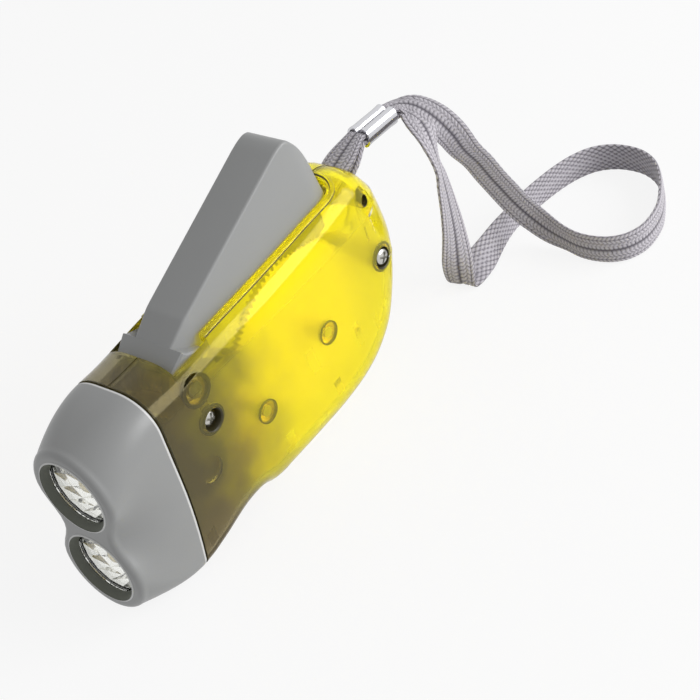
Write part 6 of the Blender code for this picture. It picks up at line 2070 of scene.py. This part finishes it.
@dataclass
class Studio:
    """Camera, lamps, and the pale floor."""

    eye: tuple = (-0.174433, -0.23429, 0.25548)
    right: tuple = (0.58374, -0.77581, -0.23952)
    up: tuple = (0.62659, 0.24284, 0.74055)
    focal: float = 88.8
    key_way: tuple = (0.50, -0.76, 0.42)
    key_distance: float = 0.70
    key_power: float = 3.9
    key_size: tuple = (0.62, 0.42)
    ambient: float = 0.42
    sensor: float = 36.0
    clip: Point = (0.01, 20.0)
    aim_height: float = 0.02
    floor_reach: float = 2.5
    floor_glow: float = 0.86

    def camera(self) -> None:
        """Stands where the photograph was taken from."""
        data = bpy.data.cameras.new("camera")
        data.sensor_width, data.lens = self.sensor, self.focal
        data.clip_start, data.clip_end = self.clip
        item = bpy.data.objects.new("camera", data)
        bpy.context.scene.collection.objects.link(item)
        right = Vector(self.right).normalized()
        back = right.cross(Vector(self.up)).normalized()
        up = back.cross(right)
        turn = Matrix((right, up, back)).transposed().to_4x4()
        item.matrix_world = Matrix.Translation(self.eye) @ turn
        bpy.context.scene.camera = item

    def lamp(self, name: str, way: tuple, distance: float, power: float, size: Point) -> None:
        """A soft rectangular lamp that faces the torch.

        Args:
            name: The lamp's name.
            way: Where it stands, seen from the torch.
            distance: How far off.
            power: In watts.
            size: Its two sides.
        """
        data = bpy.data.lights.new(name, "AREA")
        data.shape, data.size, data.size_y, data.energy = "RECTANGLE", size[0], size[1], power
        item = bpy.data.objects.new(name, data)
        bpy.context.scene.collection.objects.link(item)
        way = Vector(way).normalized()
        item.rotation_mode = "QUATERNION"
        item.rotation_quaternion = way.to_track_quat("Z", "Y")
        item.location = way * distance + Vector((0.0, 0.0, self.aim_height))

    def world(self) -> None:
        """White where it is seen, mirrored or looked at through glass, and an even soft light elsewhere."""
        world = bpy.data.worlds.new("studio")
        world.use_nodes = True
        tree = world.node_tree
        tree.nodes.clear()
        shown = node(tree, "ShaderNodeBackground", {"Color": linear("#FFFFFF"), "Strength": 1.0})
        light = node(tree, "ShaderNodeBackground", {"Color": linear("#FFFFFF"), "Strength": self.ambient})
        mixed = node(tree, "ShaderNodeMixShader", {0: self.seen(tree), 1: light.outputs[0], 2: shown.outputs[0]})
        node(tree, "ShaderNodeOutputWorld", {"Surface": mixed.outputs[0]})
        bpy.context.scene.world = world

    def seen(self, tree: Tree) -> Socket:
        """1 for a camera, mirrored or transmitted ray, 0 for the rest.

        Args:
            tree: The world's or a material's tree.

        Returns:
            The share, as an output.
        """
        path = node(tree, "ShaderNodeLightPath")
        first = node(tree, "ShaderNodeMath", {0: path.outputs["Is Camera Ray"], 1: path.outputs["Is Glossy Ray"]},
                     operation="MAXIMUM")
        both = node(tree, "ShaderNodeMath", {0: first.outputs[0], 1: path.outputs["Is Transmission Ray"]},
                    operation="MAXIMUM")
        return both.outputs[0]

    def floor(self) -> None:
        """A pale sweep under the torch that keeps a soft shadow."""
        reach = self.floor_reach
        item = mesh_piece("floor", [(-reach, -reach, 0), (reach, -reach, 0), (reach, reach, 0), (-reach, reach, 0)],
                          [(0, 1, 2, 3)])
        made = bpy.data.materials.new("floor_paper")
        made.use_nodes = True
        tree = made.node_tree
        tree.nodes.clear()
        matt = node(tree, "ShaderNodeBsdfDiffuse", {"Color": linear("#F4F4F4")})
        glow = node(tree, "ShaderNodeEmission", {"Color": linear("#FFFFFF"), "Strength": 1.0})
        share = node(tree, "ShaderNodeMath", {0: self.seen(tree), 1: self.floor_glow}, operation="MULTIPLY")
        mixed = node(tree, "ShaderNodeMixShader", {0: share.outputs[0], 1: matt.outputs[0], 2: glow.outputs[0]})
        node(tree, "ShaderNodeOutputMaterial", {"Surface": mixed.outputs[0]})
        item.data.materials.append(made)

    def build(self) -> None:
        """Sets up the studio."""
        self.camera()
        self.world()
        self.floor()
        self.lamp("key", self.key_way, self.key_distance, self.key_power, self.key_size)
        bpy.context.scene.view_settings.view_transform = "Standard"


def main() -> None:
    """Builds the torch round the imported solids, in order."""
    logging.basicConfig(level=logging.INFO, format="%(name)s: %(message)s", stream=sys.stdout)
    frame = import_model()
    Studio().build()
    layout = Layout()
    torch = Torch(layout, layout.carry())
    WristStrap(torch).build()
    body = ClearBody(torch)
    body.build()
    nose = Nose(torch, body)
    nose.build()
    Lamps(torch, nose).build()
    HandLever(torch, body).build()
    Fittings(torch).build()
    Works(torch).build(frame["nodes"])


if __name__ == "__main__":
    main()
